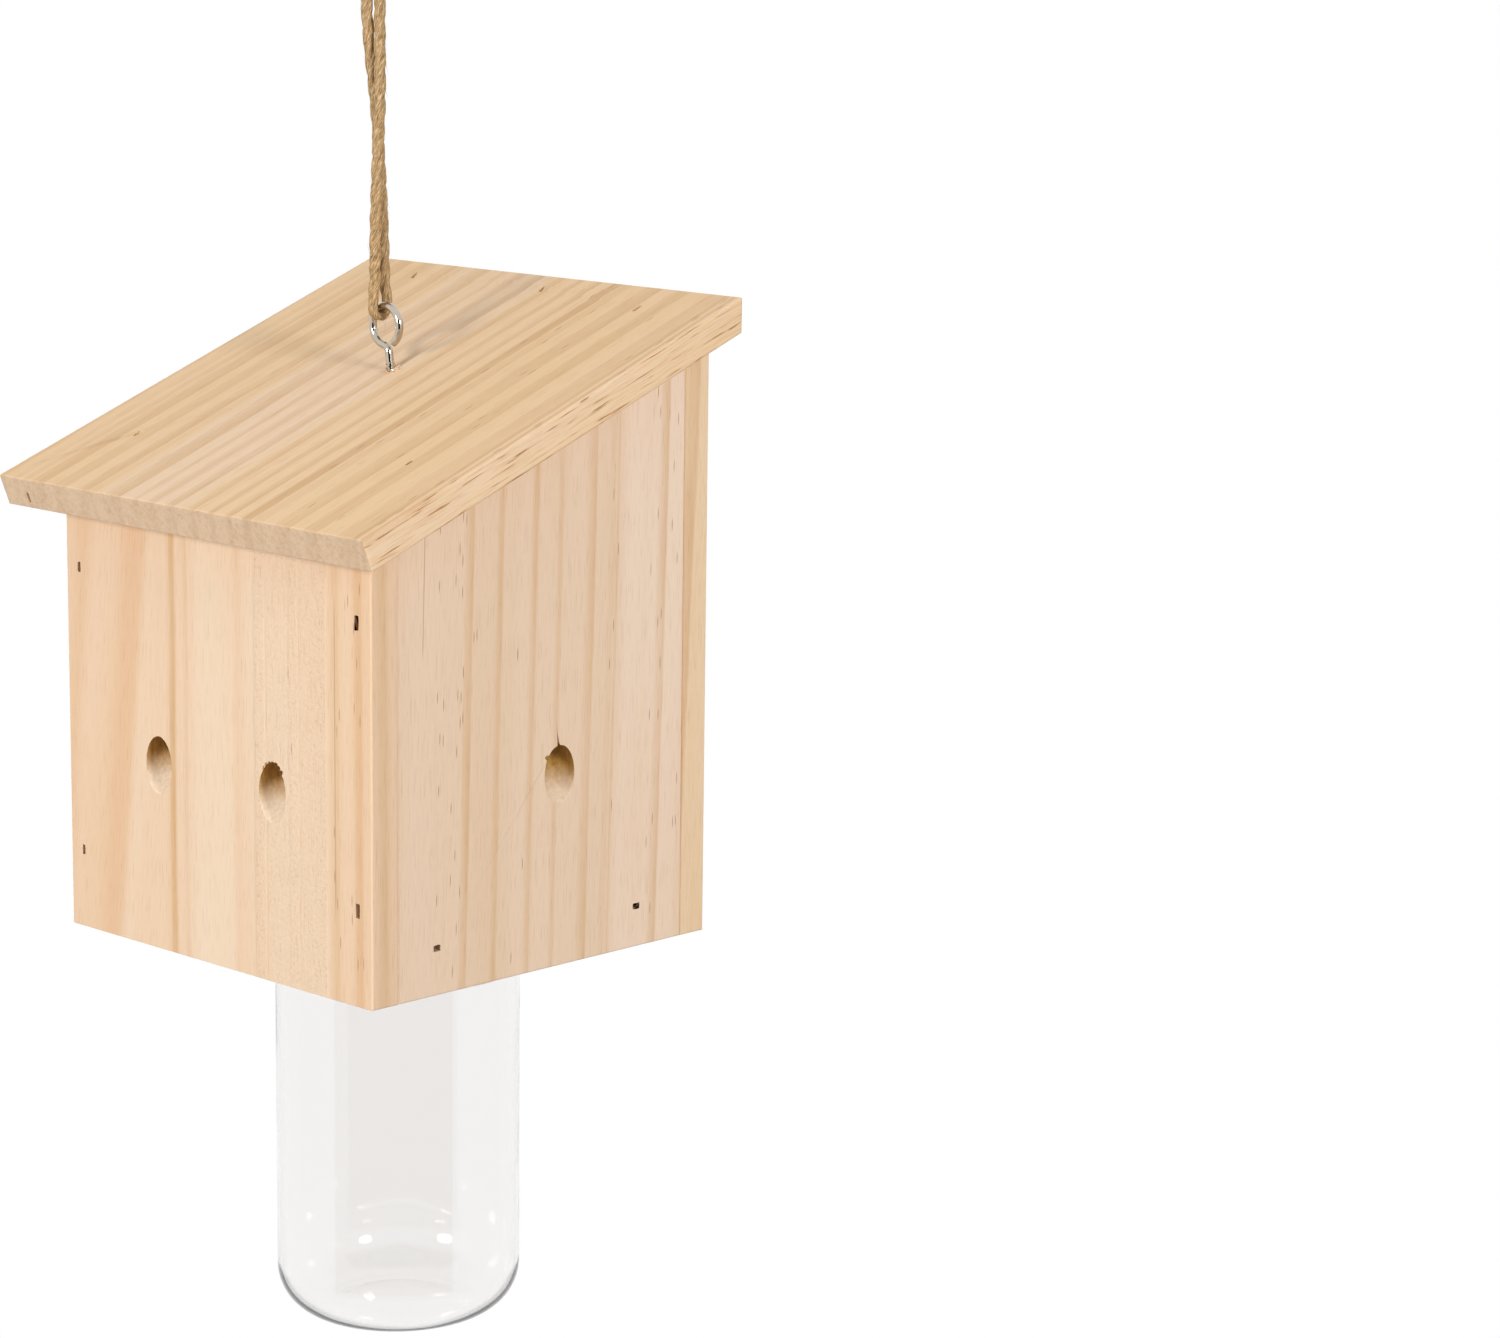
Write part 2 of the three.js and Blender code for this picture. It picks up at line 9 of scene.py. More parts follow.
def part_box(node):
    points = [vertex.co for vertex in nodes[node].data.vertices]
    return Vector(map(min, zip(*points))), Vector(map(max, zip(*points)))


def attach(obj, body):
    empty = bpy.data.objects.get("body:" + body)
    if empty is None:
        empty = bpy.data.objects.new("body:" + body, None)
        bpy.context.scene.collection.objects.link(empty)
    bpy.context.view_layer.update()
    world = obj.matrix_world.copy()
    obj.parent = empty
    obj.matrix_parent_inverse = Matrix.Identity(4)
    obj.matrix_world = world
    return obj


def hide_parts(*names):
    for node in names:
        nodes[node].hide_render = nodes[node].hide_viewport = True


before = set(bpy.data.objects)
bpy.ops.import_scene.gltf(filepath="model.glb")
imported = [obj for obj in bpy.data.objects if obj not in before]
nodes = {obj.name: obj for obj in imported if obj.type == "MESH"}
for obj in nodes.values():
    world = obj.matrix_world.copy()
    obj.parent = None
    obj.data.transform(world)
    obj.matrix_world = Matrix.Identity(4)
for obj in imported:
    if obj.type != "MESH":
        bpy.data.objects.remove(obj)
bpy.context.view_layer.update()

# Carpenter bee trap: a pine box under a sloping roof, hung on doubled jute twine,
# with a clear screw jar under its floor. Everything is in metres, in the frame's own axes.

mm = 0.001
scene = bpy.context.scene


def in_scene(name, data):
    made = bpy.data.objects.new(name, data)
    scene.collection.objects.link(made)
    return made


# Camera, at the photograph's viewing angle: the object hangs in the left half of the picture
CAMERA_PLACE = Vector((936.5, -818.5, 15.8)) * mm
CAMERA_AZIMUTH = deg(43.61)
CAMERA_ELEVATION = deg(10.95)
CAMERA_ROLL = deg(0.773)
CAMERA_LENS = 98.93
SENSOR_WIDTH = 36

camera_data = bpy.data.cameras.new("camera")
camera_data.lens = CAMERA_LENS
camera_data.sensor_width = SENSOR_WIDTH
camera = in_scene("camera", camera_data)
camera.matrix_world = (
    Matrix.Translation(CAMERA_PLACE)
    @ Matrix.Rotation(CAMERA_AZIMUTH, 4, "Z")
    @ Matrix.Rotation(deg(90) - CAMERA_ELEVATION, 4, "X")
    @ Matrix.Rotation(CAMERA_ROLL, 4, "Z")
)
scene.camera = camera


# The house's own place: the middle of the box, at the walls' lower edge
front_low, front_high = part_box("front_panel")
back_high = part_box("back_panel")[1]
HOUSE = Vector((
    (front_low.x + front_high.x) / 2, (front_low.y + back_high.y) / 2, front_low.z,
))
HALF_WIDTH = 70  # from the house's middle to the outer face of a side, in millimetres
HALF_DEPTH = 67.5
ROOF_SLOPE = deg(21)
SEAM = 0.28 * mm  # the boards are closed up by this where they meet
WELD = 0.002 * mm  # points nearer than this are one
SHARP = deg(40)  # past this angle an edge of a turned or swept piece stays crisp


def in_house(x, y, z):
    return Vector((x, y, z)) * mm + HOUSE


# Mesh helpers
def finish_mesh(name, mesh, material, body):
    """An object at the origin, riding on a body, with its material."""
    piece = in_scene(name, mesh)
    mesh.name = name
    mesh.materials.clear()
    mesh.materials.append(material)
    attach(piece, body)
    return piece


def mesh_from(bm, sharp=None):
    """Sharp is the angle past which an edge is shown as one; without it all is smooth."""
    mesh = bpy.data.meshes.new("shape")
    bm.to_mesh(mesh)
    bm.free()
    mesh.shade_smooth()
    if sharp:
        mesh.set_sharp_from_angle(angle=sharp)
    return mesh


def merged(meshes, matrix):
    """One mesh of several, moved by a matrix."""
    bm = bmesh.new()
    for mesh in meshes:
        bm.from_mesh(mesh)
    bm.transform(matrix)
    return mesh_from(bm, sharp=SHARP)


def lathe(profile, steps=120):
    """A mesh of (radius, height) points in millimetres, spun round the upright axis."""
    bm = bmesh.new()
    line = [bm.verts.new((radius * mm, 0, height * mm)) for radius, height in profile]
    for a, b in zip(line, line[1:]):
        bm.edges.new((a, b))
    bmesh.ops.spin(bm, geom=bm.verts[:] + bm.edges[:], cent=(0, 0, 0), axis=(0, 0, 1),
                   angle=2 * pi, steps=steps, use_merge=True)
    bmesh.ops.remove_doubles(bm, verts=bm.verts, dist=WELD)
    bmesh.ops.recalc_face_normals(bm, faces=bm.faces)
    return mesh_from(bm, sharp=SHARP)


def arc(centre, radius, start, end, steps):
    """Profile points on an arc, its angles in degrees."""
    turns = (deg(start + (end - start) * i / steps) for i in range(steps + 1))
    return [(centre[0] + radius * cos(turn), centre[1] + radius * sin(turn)) for turn in turns]


def baked(piece):
    """The piece's mesh with its cuts or its sweep carried out."""
    bpy.context.view_layer.update()
    return bpy.data.meshes.new_from_object(
        piece.evaluated_get(bpy.context.evaluated_depsgraph_get()))


def carve(mesh, cutters):
    """A mesh less its cutters, which are bmeshes."""
    piece = in_scene("carved", mesh)
    spares = [piece]
    for bm in cutters:
        bmesh.ops.recalc_face_normals(bm, faces=bm.faces)
        tool = in_scene("cutter", mesh_from(bm))
        cut = piece.modifiers.new("cut", "BOOLEAN")
        cut.operation = "DIFFERENCE"
        cut.solver = "EXACT"
        cut.object = tool
        spares.append(tool)
    carved = baked(piece)
    for spare in spares:
        bpy.data.objects.remove(spare)
    return carved


def block(size, place, turn=0.0):
    """A cutter: a cube scaled to a size, turned about X, at a place."""
    bm = bmesh.new()
    bmesh.ops.create_cube(bm, size=1)
    bm.transform(Matrix.Translation(place) @ Matrix.Rotation(turn, 4, "X")
                 @ Matrix.Diagonal((*size, 1)))
    return bm


def smooth_points(points, step):
    """Points a step apart on a centripetal curve through the given ones."""
    ends = [points[0] * 2 - points[1], *points, points[-1] * 2 - points[-2]]
    out = []
    for a, b, c, d in zip(ends, ends[1:], ends[2:], ends[3:]):
        ta = 0.0
        tb = ta + (b - a).length ** 0.5
        tc = tb + (c - b).length ** 0.5
        td = tc + (d - c).length ** 0.5
        pieces = max(1, round((c - b).length / step))
        for i in range(pieces):
            t = tb + (tc - tb) * i / pieces
            ab = a.lerp(b, (t - ta) / (tb - ta))
            bc = b.lerp(c, (t - tb) / (tc - tb))
            cd = c.lerp(d, (t - tc) / (td - tc))
            abc = ab.lerp(bc, (t - ta) / (tc - ta))
            bcd = bc.lerp(cd, (t - tb) / (td - tb))
            out.append(abc.lerp(bcd, (t - tb) / (tc - tb)))
    out.append(points[-1])
    return out


def tubes(lines, profile, radius=lambda share: 1.0, twist=0.0):
    """A mesh of the profile's outline swept along each line of points, turned by twist
    radians a metre and scaled by radius(share of the way)."""
    outline_data = bpy.data.curves.new("outline", "CURVE")
    outline_data.dimensions = "2D"
    spline = outline_data.splines.new("POLY")
    spline.points.add(len(profile) - 1)
    spline.use_cyclic_u = True
    for point, (x, y) in zip(spline.points, profile):
        point.co = (x, y, 0, 1)
    outline = in_scene("outline", outline_data)
    data = bpy.data.curves.new("lines", "CURVE")
    data.dimensions = "3D"
    data.twist_mode = "MINIMUM"
    data.bevel_mode = "OBJECT"
    data.bevel_object = outline
    data.use_fill_caps = True
    for line in lines:
        spline = data.splines.new("POLY")
        spline.points.add(len(line) - 1)
        way = 0.0
        for i, (point, place) in enumerate(zip(spline.points, line)):
            way += (place - line[i - 1]).length if i else 0.0
            point.co = (*place, 1)
            point.radius = radius(i / (len(line) - 1))
            point.tilt = twist * way
    swept = in_scene("swept", data)
    mesh = baked(swept)
    for spare in (swept, outline):
        bpy.data.objects.remove(spare)
    mesh.shade_smooth()
    return mesh


def ringed(radius, sides, ridges=0, ridge=0.0):
    """The outline of a round section, with fine ridges if asked."""
    turns = (2 * pi * i / sides for i in range(sides))
    reaches = ((turn, radius + ridge * cos(ridges * turn)) for turn in turns)
    return [(reach * cos(turn), reach * sin(turn)) for turn, reach in reaches]


def helix(radius, pitch, low, high, step=10):
    """Points of a right-hand thread round the upright axis, given in millimetres."""
    turns = (high - low) / pitch
    count = round(turns * 360 / step)
    return [
        Vector((radius * cos(a), radius * sin(a), low + pitch * a / (2 * pi))) * mm
        for a in (2 * pi * turns * i / count for i in range(count + 1))
    ]


def fade_ends(share):
    """The width of a thread: thin at both ends, full after a twelfth of its way."""
    return min(1.0, 0.05 + 12 * share, 0.05 + 12 * (1 - share))


# Materials
def hex_colour(code):
    """An sRGB hex colour as the linear values that Blender works in."""
    linear = []
    for i in (0, 2, 4):
        value = int(code[i:i + 2], 16) / 255
        linear.append(value / 12.92 if value <= 0.04045 else ((value + 0.055) / 1.055) ** 2.4)
    return (*linear, 1.0)


def add(tree, kind, feeds=(), stops=None, **settings):
    """Adds a node. Feeds names its inputs, or lists those in use in order (of a MapRange: the
    value, from what to what, and to what to what), each with a value, a hex colour, an
    output or a node whose first output in use feeds it. Stops are a colour ramp's, as
    (place, hex colour or grey level)."""
    made = tree.nodes.new("ShaderNode" + kind)
    for key, value in settings.items():
        setattr(made, key, value)
    if stops:
        elements = made.color_ramp.elements
        while len(elements) < len(stops):
            elements.new(1)
        for element, (place, colour) in zip(elements, stops):
            element.position = place
            named = isinstance(colour, str)
            element.color = hex_colour(colour) if named else (colour, colour, colour, 1)
    if not isinstance(feeds, dict):
        in_use = (i for i, socket in enumerate(made.inputs) if socket.enabled)
        feeds = dict(zip(in_use, feeds))
    for socket, feed in feeds.items():
        if isinstance(feed, bpy.types.Node):
            feed = next(output for output in feed.outputs if output.enabled)
        if isinstance(feed, bpy.types.NodeSocket):
            tree.links.new(feed, made.inputs[socket])
        else:
            level = hex_colour(feed) if isinstance(feed, str) else feed
            made.inputs[socket].default_value = level
    return made


def new_material(name):
    """A material, its empty node tree, and places in the piece's own coordinates."""
    material = bpy.data.materials.new(name)
    material.use_nodes = True
    tree = material.node_tree
    tree.nodes.clear()
    return material, tree, add(tree, "TexCoord").outputs


def finish(tree, shading, height, strength, depth):
    """Ends a material: a surface with its shading, bumped by a height over a depth in
    millimetres."""
    bump = add(tree, "Bump", {"Height": height, "Strength": strength, "Distance": depth * mm})
    shader = add(tree, "BsdfPrincipled", {**shading, "Normal": bump})
    add(tree, "OutputMaterial", {"Surface": shader})


def drawn_out(tree, place, scales, detail, roughness=0.5):
    """Noise drawn out along an axis: its scales are waves in each unit of the place."""
    scaled = add(tree, "VectorMath", (place, scales), operation="MULTIPLY")
    return add(tree, "TexNoise", {"Vector": scaled, "Scale": 1.0, "Detail": detail,
                                  "Roughness": roughness})


RING_REACH = 100  # rings are placed up to this far from the middle of a board
BANDS_IN_RAMP = 7


def ramp_level(tree, ring, points):
    """The level at a ring place, from (place, level) points."""
    share = add(tree, "MapRange", (ring, -RING_REACH, RING_REACH))
    ramp = add(tree, "ValToRGB", (share,), stops=[
        ((place / RING_REACH + 1) / 2, level) for place, level in points])
    return add(tree, "SeparateColor", (ramp,))


def band_tone(tree, ring, bands, soft=0.7, crisp=0.35):
    """The summed tone of bands at a ring place. Each starts softly and ends crisply."""
    total = None
    for first in range(0, len(bands), BANDS_IN_RAMP):
        points = [(-RING_REACH, 0.0)]
        for start, tone, end, end_tone in bands[first:first + BANDS_IN_RAMP]:
            for place, level in ((start - soft, 0.0), (start, tone), (end, end_tone),
                                 (end + crisp, 0.0)):
                points.append((max(place, points[-1][0]), level))
        ramp = ramp_level(tree, ring, points)
        total = add(tree, "Math", (total, ramp), operation="ADD") if total else ramp
    return total


def resin_canals(tree, straight, along, density):
    """Where canals are: dashes some tenths of a millimetre wide and a few long, in columns."""
    cells = add(tree, "CombineXYZ", (straight, along))
    cells = add(tree, "VectorMath", (cells, (0.8, 0.075, 1)), operation="MULTIPLY")
    cells = add(tree, "TexVoronoi", {"Vector": cells, "Scale": 1.0}, voronoi_dimensions="2D")
    picked = add(tree, "SeparateColor", (cells.outputs["Color"],))
    picked = add(tree, "Math", (picked, density), operation="LESS_THAN")
    canal = add(tree, "MapRange", (cells, 0.18, 0.09, 0.0, 0.62))
    return add(tree, "Math", (canal, picked), operation="MULTIPLY")


def single_mark(tree, straight, along, centre, width, start, end, tone):
    """Where a crack, a scratch or a resin pocket is, as deep as its tone."""
    shares = []
    for place, middle, outer, inner, level in (
        (straight, centre, width / 2, width / 4, tone),
        (along, (start + end) / 2, (end - start) / 2, (end - start) * 0.42, 1.0),
    ):
        off = add(tree, "Math", (place, middle), operation="SUBTRACT")
        off = add(tree, "Math", (off,), operation="ABSOLUTE")
        shares.append(add(tree, "MapRange", (off, outer, inner, 0.0, level)))
    return add(tree, "Math", shares, operation="MULTIPLY")


# Sawn pine, planed on the faces: soft earlywood with narrow latewood lines, fine fibres
# along the grain and short dark resin canals. The end grain is greyer, dull and open.
def pine(name, base, warm, late, origin, order, streak=0.4, amber_tone=None,
         end_grain="d1b69a", turn=0.0, lean=0.0, kink=None, slant=0.4, waver=1.0, seed=0.0,
         bands=(), amber=(), canals=(), torn=(), marks=(), edge=None):
    """One board as it was cut from the log. Its own coordinates are millimetres across the
    face, along the grain and down into the board. Bands are growth rings, as (start, tone,
    end, tone) across the face; they lean along the grain and slant through the board.
    Amber is the depth of a warmer tone, as (place, level) across the face. Marks are
    (across, width, from, to, tone). Edge is the place across the face past which the saw
    has torn the fibres."""
    material, tree, place = new_material(name)

    # millimetres in the board's own coordinates
    mapped = add(tree, "Mapping", {
        "Vector": place["Object"], "Location": tuple(-origin / mm), "Rotation": (turn, 0, 0),
        "Scale": (1 / mm, 1 / mm, 1 / mm)})
    axes = add(tree, "SeparateXYZ", (mapped,))
    across, along, deep = (axes.outputs["XYZ".index(axis)] for axis in order)
    seeded = add(tree, "CombineXYZ", (across, along, deep))
    seeded = add(tree, "VectorMath", (seeded, (37 * seed, 91 * seed, 53 * seed)), operation="ADD")

    # the growth rings' own coordinate: leaning and wavering along the board
    wave = drawn_out(tree, seeded, (0.02, 0.008, 0.02), 1.0)
    wave = add(tree, "Math", (wave, 0.5), operation="SUBTRACT")
    leaning = add(tree, "Math", (along, -lean), operation="MULTIPLY")
    if kink:
        upright = add(tree, "MapRange", (across, *kink, 1.0, 0.0), interpolation_type="SMOOTHSTEP")
        leaning = add(tree, "Math", (leaning, upright), operation="MULTIPLY")
    straight = add(tree, "Math", (across, leaning), operation="ADD")
    ring = add(tree, "Math", (wave, 4 * waver, straight), operation="MULTIPLY_ADD")
    ring = add(tree, "Math", (deep, slant, ring), operation="MULTIPLY_ADD")

    # latewood lines, which fade and come back along the grain
    fading = drawn_out(tree, seeded, (0.2, 0.02, 0.2), 2.0)
    fading = add(tree, "MapRange", (fading, 0.35, 0.65, 0.7, 1.1))
    lateness = band_tone(tree, ring, bands)
    lateness = add(tree, "Math", (lateness, fading), operation="MULTIPLY")

    # broad drifts of colour, streaks a few millimetres wide, and single fibres
    laid = add(tree, "CombineXYZ", (ring, along, deep))
    laid = add(tree, "VectorMath", (laid, (11 * seed, 29 * seed, 0)), operation="ADD")
    drift = drawn_out(tree, laid, (0.05, 0.005, 0.05), 1.0)
    drift = add(tree, "MapRange", (drift, 0.35, 0.65, 0.0, 0.6))
    streaks = drawn_out(tree, laid, (0.5, 0.009, 0.5), 3.0, 0.6)
    streaks = add(tree, "Math", (streaks, 0.5), operation="SUBTRACT")
    fibres = drawn_out(tree, laid, (2.6, 0.09, 2.6), 3.0, 0.7)
    warmth = add(tree, "Math", (streaks, 2 * streak, drift), operation="MULTIPLY_ADD", use_clamp=True)
    tone = add(tree, "Mix", (warmth, base, warm), data_type="RGBA")
    if amber:
        tone = add(tree, "Mix", (ramp_level(tree, ring, amber), tone, amber_tone), data_type="RGBA")
    tone = add(tree, "Mix", (lateness, tone, late), data_type="RGBA")
    fibre_shade = add(tree, "ValToRGB", (fibres,), stops=[
        (0.28, "ece6de"), (0.48, "ffffff"), (0.75, "fffefb")])
    tone = add(tree, "Mix", (1.0, tone, fibre_shade), data_type="RGBA", blend_type="MULTIPLY")

    # resin canals, and single marks
    darker = []
    if canals:
        density = band_tone(tree, ring, canals)
        darker.append((resin_canals(tree, straight, along, density), "8a5c3c"))
    for mark in marks:
        darker.append((single_mark(tree, straight, along, *mark), "7d5334"))
    for share, colour in darker:
        tone = add(tree, "Mix", (share, tone, colour), data_type="RGBA")

    # fibres torn by the saw along one edge: dashes about 1 mm wide and 15 mm long
    if edge:
        sawn = add(tree, "MapRange", (across, edge, edge + 0.6))
        dashes = add(tree, "CombineXYZ", (deep, along))
        dashes = drawn_out(tree, dashes, (1.2, 0.055, 1), 2.0)
        dashes = add(tree, "ValToRGB", (dashes,), stops=[
            (0.33, "bd9f80"), (0.375, "f8efe4"), (0.55, "ffffff")])
        tone = add(tree, "Mix", (sawn, tone, dashes), data_type="RGBA", blend_type="MULTIPLY")

    # end grain, on faces that cut across the fibres
    grain_axis = Vector((0, 0, 0))
    grain_axis["XYZ".index(order[1])] = 1
    grain_axis = Matrix.Rotation(-turn, 3, "X") @ grain_axis
    facing = add(tree, "VectorMath", (place["Normal"], grain_axis), operation="DOT_PRODUCT")
    facing = add(tree, "Math", (facing,), operation="ABSOLUTE")
    ends = add(tree, "MapRange", (facing, 0.75, 0.9))
    pores = add(tree, "TexNoise", {"Vector": seeded, "Scale": 0.6, "Detail": 5.0, "Roughness": 0.8})
    pore_shade = add(tree, "ValToRGB", (pores,), stops=[
        (0.33, "cbb9a1"), (0.48, "f3ece2"), (0.63, "ffffff")])
    end_rings = add(tree, "Math", (lateness, 0.35), operation="MULTIPLY")
    end_tone = add(tree, "Mix", (end_rings, end_grain, "b3936f"), data_type="RGBA")
    end_tone = add(tree, "Mix", (0.55, end_tone, pore_shade), data_type="RGBA",
                   blend_type="MULTIPLY")
    tone = add(tree, "Mix", (ends, tone, end_tone), data_type="RGBA")

    # relief: fibres stand up, end grain is open, and some bands are torn by the planer
    relief = add(tree, "Math", (pores, ends), operation="MULTIPLY")
    relief = add(tree, "Math", (relief, 3.0, fibres), operation="MULTIPLY_ADD")
    if torn:
        crinkle = drawn_out(tree, seeded, (1.1, 0.8, 1.1), 3.0, 0.65)
        tears = band_tone(tree, straight, torn, soft=1.0, crisp=0.5)
        specks = add(tree, "ValToRGB", (crinkle,), stops=[
            (0.37, "f4eadf"), (0.44, "fffefd"), (0.6, "ffffff")])
        tone = add(tree, "Mix", (tears, tone, specks), data_type="RGBA", blend_type="MULTIPLY")
        crinkle = add(tree, "Math", (crinkle, tears), operation="MULTIPLY")
        relief = add(tree, "Math", (crinkle, 13.0, relief), operation="MULTIPLY_ADD")
    finish(tree, {"Base Color": tone, "Roughness": 0.62, "IOR": 1.45}, relief, 0.35, 0.2)
    return material


pine_front = pine(
    "planed_pine_front", "e6cdb2", "e3c6a6", "cca271", in_house(0, -HALF_DEPTH, 0), "XZY",
    streak=0.15, amber_tone="dbb28b", lean=0.112, kink=(-29, -21), slant=0.7, waver=0.5, seed=1.3,
    bands=[(-20.5, 0.6, -18.2, 1.0), (-13.8, 0.2, -12.4, 0.25), (52, 0.1, 55.4, 0.4),
           (63, 0.25, 65.6, 0.4), (71.5, 0.2, 74, 0.6)],
    amber=[(-80, 0.4), (-77, 0.6), (-74, 0.75), (-71, 0.5), (-68, 0.35), (-62, 0.36),
           (-59, 0.4), (-56, 0.6), (-53, 0.8), (-50, 0.82), (-47, 0.75), (-44.5, 0.3),
           (-43, 0.12), (-24, 0.2), (-22, 0.45), (-16.5, 0.3), (-13.5, 0.25), (-10.5, 0.2),
           (-7.5, 0.0), (8, 0.0), (10.5, 0.4), (13.5, 0.2), (16.5, 0.12), (50, 0.12),
           (52.5, 0.33), (55.5, 0.5), (58.5, 0.3), (61.5, 0.4), (64.5, 0.9), (67.5, 0.45)],
    canals=[(34, 0.1, 37, 0.1), (53, 0.1, 56, 0.15), (60, 0.12, 66, 0.15)],
    torn=[(19, 1.0, 23, 0.55), (23.5, 0.5, 33.5, 0.5), (34, 0.95, 38, 0.6),
          (38.5, 0.55, 43, 0.6), (43.5, 0.65, 50, 0.85)],
    marks=[(54.2, 0.5, 22, 120, 0.4)])
pine_side = pine(
    "planed_pine_right_side", "e9d0b9", "e4c7ab", "d3ab80", in_house(HALF_WIDTH, 0, 0), "YZX",
    streak=0.35, amber_tone="daba98", lean=0.027, slant=-0.3, waver=0.35, seed=4.1,
    bands=[(-70, 0.5, -57.5, 0.1), (-34.4, 0.4, -32.0, 0.8), (-22.2, 0.35, -20.4, 0.85),
           (-8.6, 0.35, -6.5, 0.8), (1.8, 0.35, 3.0, 0.6), (13.4, 0.25, 16.6, 0.7),
           (22.6, 0.2, 24.4, 0.3), (25.6, 0.5, 26.1, 0.7), (43.2, 0.25, 46.3, 0.7)],
    amber=[(-60, 0.15), (-57, 0.3), (-34, 0.31), (-30, 0.5), (-16, 0.5), (-12, 0.33),
           (24, 0.36), (27, 0.25), (30, 0.0), (53, 0.0), (55, 0.25), (66, 0.3)],
    canals=[(-45, 0.2, -42, 0.2), (-38.6, 0.5, -35, 0.5), (-31.5, 0.15, -29.4, 0.2),
            (-19.6, 0.05, -9, 0.08), (23.6, 0.2, 26, 0.2), (40, 0.15, 46, 0.2), (48, 0.12, 54, 0.15)],
    marks=[(-50.8, 0.5, 99, 150, 0.4)])
pine_left = pine(
    "planed_pine_left_side", "e7cdb4", "e3c4a5", "cfa983", in_house(-HALF_WIDTH, 0, 0), "YZX",
    streak=0.35, lean=-0.02, slant=0.5, seed=8.4,
    bands=[(-62, 0.2, -58, 0.5), (-46, 0.2, -41, 0.7), (-29, 0.2, -25.5, 0.6),
           (-13, 0.2, -10.8, 0.7), (0, 0.2, 3, 0.5), (15, 0.2, 17, 0.7), (33, 0.2, 36, 0.6),
           (51, 0.2, 54, 0.7)],
    canals=[(-40, 0.1, -32, 0.2), (4, 0.1, 12, 0.15), (40, 0.1, 48, 0.2)])
pine_back = pine(
    "planed_pine_back", "e6c9a6", "e2bf98", "cfa479", in_house(0, HALF_DEPTH, 0), "XZY",
    lean=0.03, slant=0.8, seed=12.7,
    bands=[(-63, 0.2, -58, 0.6), (-47, 0.2, -40, 0.7), (-30, 0.2, -25, 0.5),
           (-12, 0.2, -7, 0.7), (6, 0.2, 9, 0.6), (21, 0.2, 25, 0.7), (39, 0.2, 43, 0.5),
           (56, 0.2, 61, 0.7)],
    canals=[(-20, 0.1, -14, 0.2), (28, 0.1, 36, 0.15)])
pine_floor = pine(
    "planed_pine_floor", "e6c9a6", "e2bf98", "cfa479", in_house(0, 0, 18.5), "YXZ",
    slant=0.6, seed=15.2,
    bands=[(-48, 0.2, -44, 0.7), (-31, 0.2, -28, 0.6), (-15, 0.2, -12, 0.7),
           (1, 0.2, 4, 0.5), (18, 0.2, 22, 0.7), (37, 0.2, 40, 0.6), (52, 0.2, 55, 0.7)])
roof_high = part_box("roof_board")[1]
roof_back_top = Vector((HOUSE.x, roof_high.y, roof_high.z))
pine_roof = pine(
    "planed_pine_roof", "e9ccac", "e4c399", "cda476",
    Matrix.Rotation(-ROOF_SLOPE, 3, "X") @ roof_back_top, "XYZ", amber_tone="e7c391",
    end_grain="d9bd9f", turn=-ROOF_SLOPE, lean=-0.012, slant=-0.25, waver=0.45, seed=21.0,
    bands=[(-88, 0.3, -83, 0.5), (-79, 0.1, -76, 0.2), (-73.5, 0.2, -71, 0.35),
           (-69, 0.35, -63.2, 0.75), (-57.8, 0.3, -52.5, 0.45), (-46.5, 0.25, -42, 0.6),
           (-41, 0.2, -38.5, 0.25), (-33.6, 0.25, -26.4, 0.6), (-20.6, 0.2, -18.3, 0.5),
           (-14, 0.15, -11, 0.5), (-10.6, 0.3, -9.6, 0.2), (-5, 0.25, -1.2, 0.65),
           (5, 0.3, 7.8, 0.6), (9, 0.15, 10, 0.2), (14.4, 0.5, 16.6, 0.55),
           (21.6, 0.25, 24.4, 0.65), (29.4, 0.75, 32.8, 0.75), (34.2, 0.25, 37.8, 0.3),
           (43.6, 0.3, 50.2, 0.55), (56.6, 0.4, 62, 0.5), (70.4, 0.35, 76.6, 0.4),
           (77.3, 0.8, 78.6, 0.8), (80.4, 0.7, 81.4, 0.5)],
    amber=[(-88, 0.5), (-38, 0.5), (-35, 0.0), (0, 0.0), (5, 0.45), (79, 0.45), (81, 0.1)],
    canals=[(28, 0.05, 39, 0.12), (44, 0.08, 50, 0.12), (56, 0.1, 63, 0.12), (76, 0.2, 82, 0.3)],
    marks=[(56.8, 1.1, -119.4, -116.6, 0.9)], edge=82.6)


# Pine where a bit has bored across the grain, with torn fibres; further in, its colour holds painted
# shade
def bored_pine():
    material, tree, place = new_material("bored_pine")
    # fibres about 1 mm thick and 4 mm long; further in, which is further up, it is painted darker, as
    # painted shade inside the tunnel
    grain = drawn_out(tree, place["Object"], (900, 900, 260), 4.0, 0.7)
    axes = add(tree, "SeparateXYZ", (place["Object"],))
    shade_depth = add(tree, "MapRange", (axes.outputs["Z"], HOUSE.z + 53 * mm, HOUSE.z + 60 * mm))
    pale = add(tree, "ValToRGB", (grain,), stops=[
        (0.3, "dfc1a0"), (0.5, "e8cfb3"), (0.7, "eedabf")])
    # painted shade: a darker, more orange tone for the tunnel's wall further in
    shaded_tone = add(tree, "ValToRGB", (grain,), stops=[
        (0.3, "ae7c30"), (0.5, "c4944a"), (0.7, "d4ad68")])
    tone = add(tree, "Mix", (shade_depth, pale, shaded_tone), data_type="RGBA")
    finish(tree, {"Base Color": tone, "Roughness": 0.75, "IOR": 1.45}, grain, 0.25, 0.3)
    return material


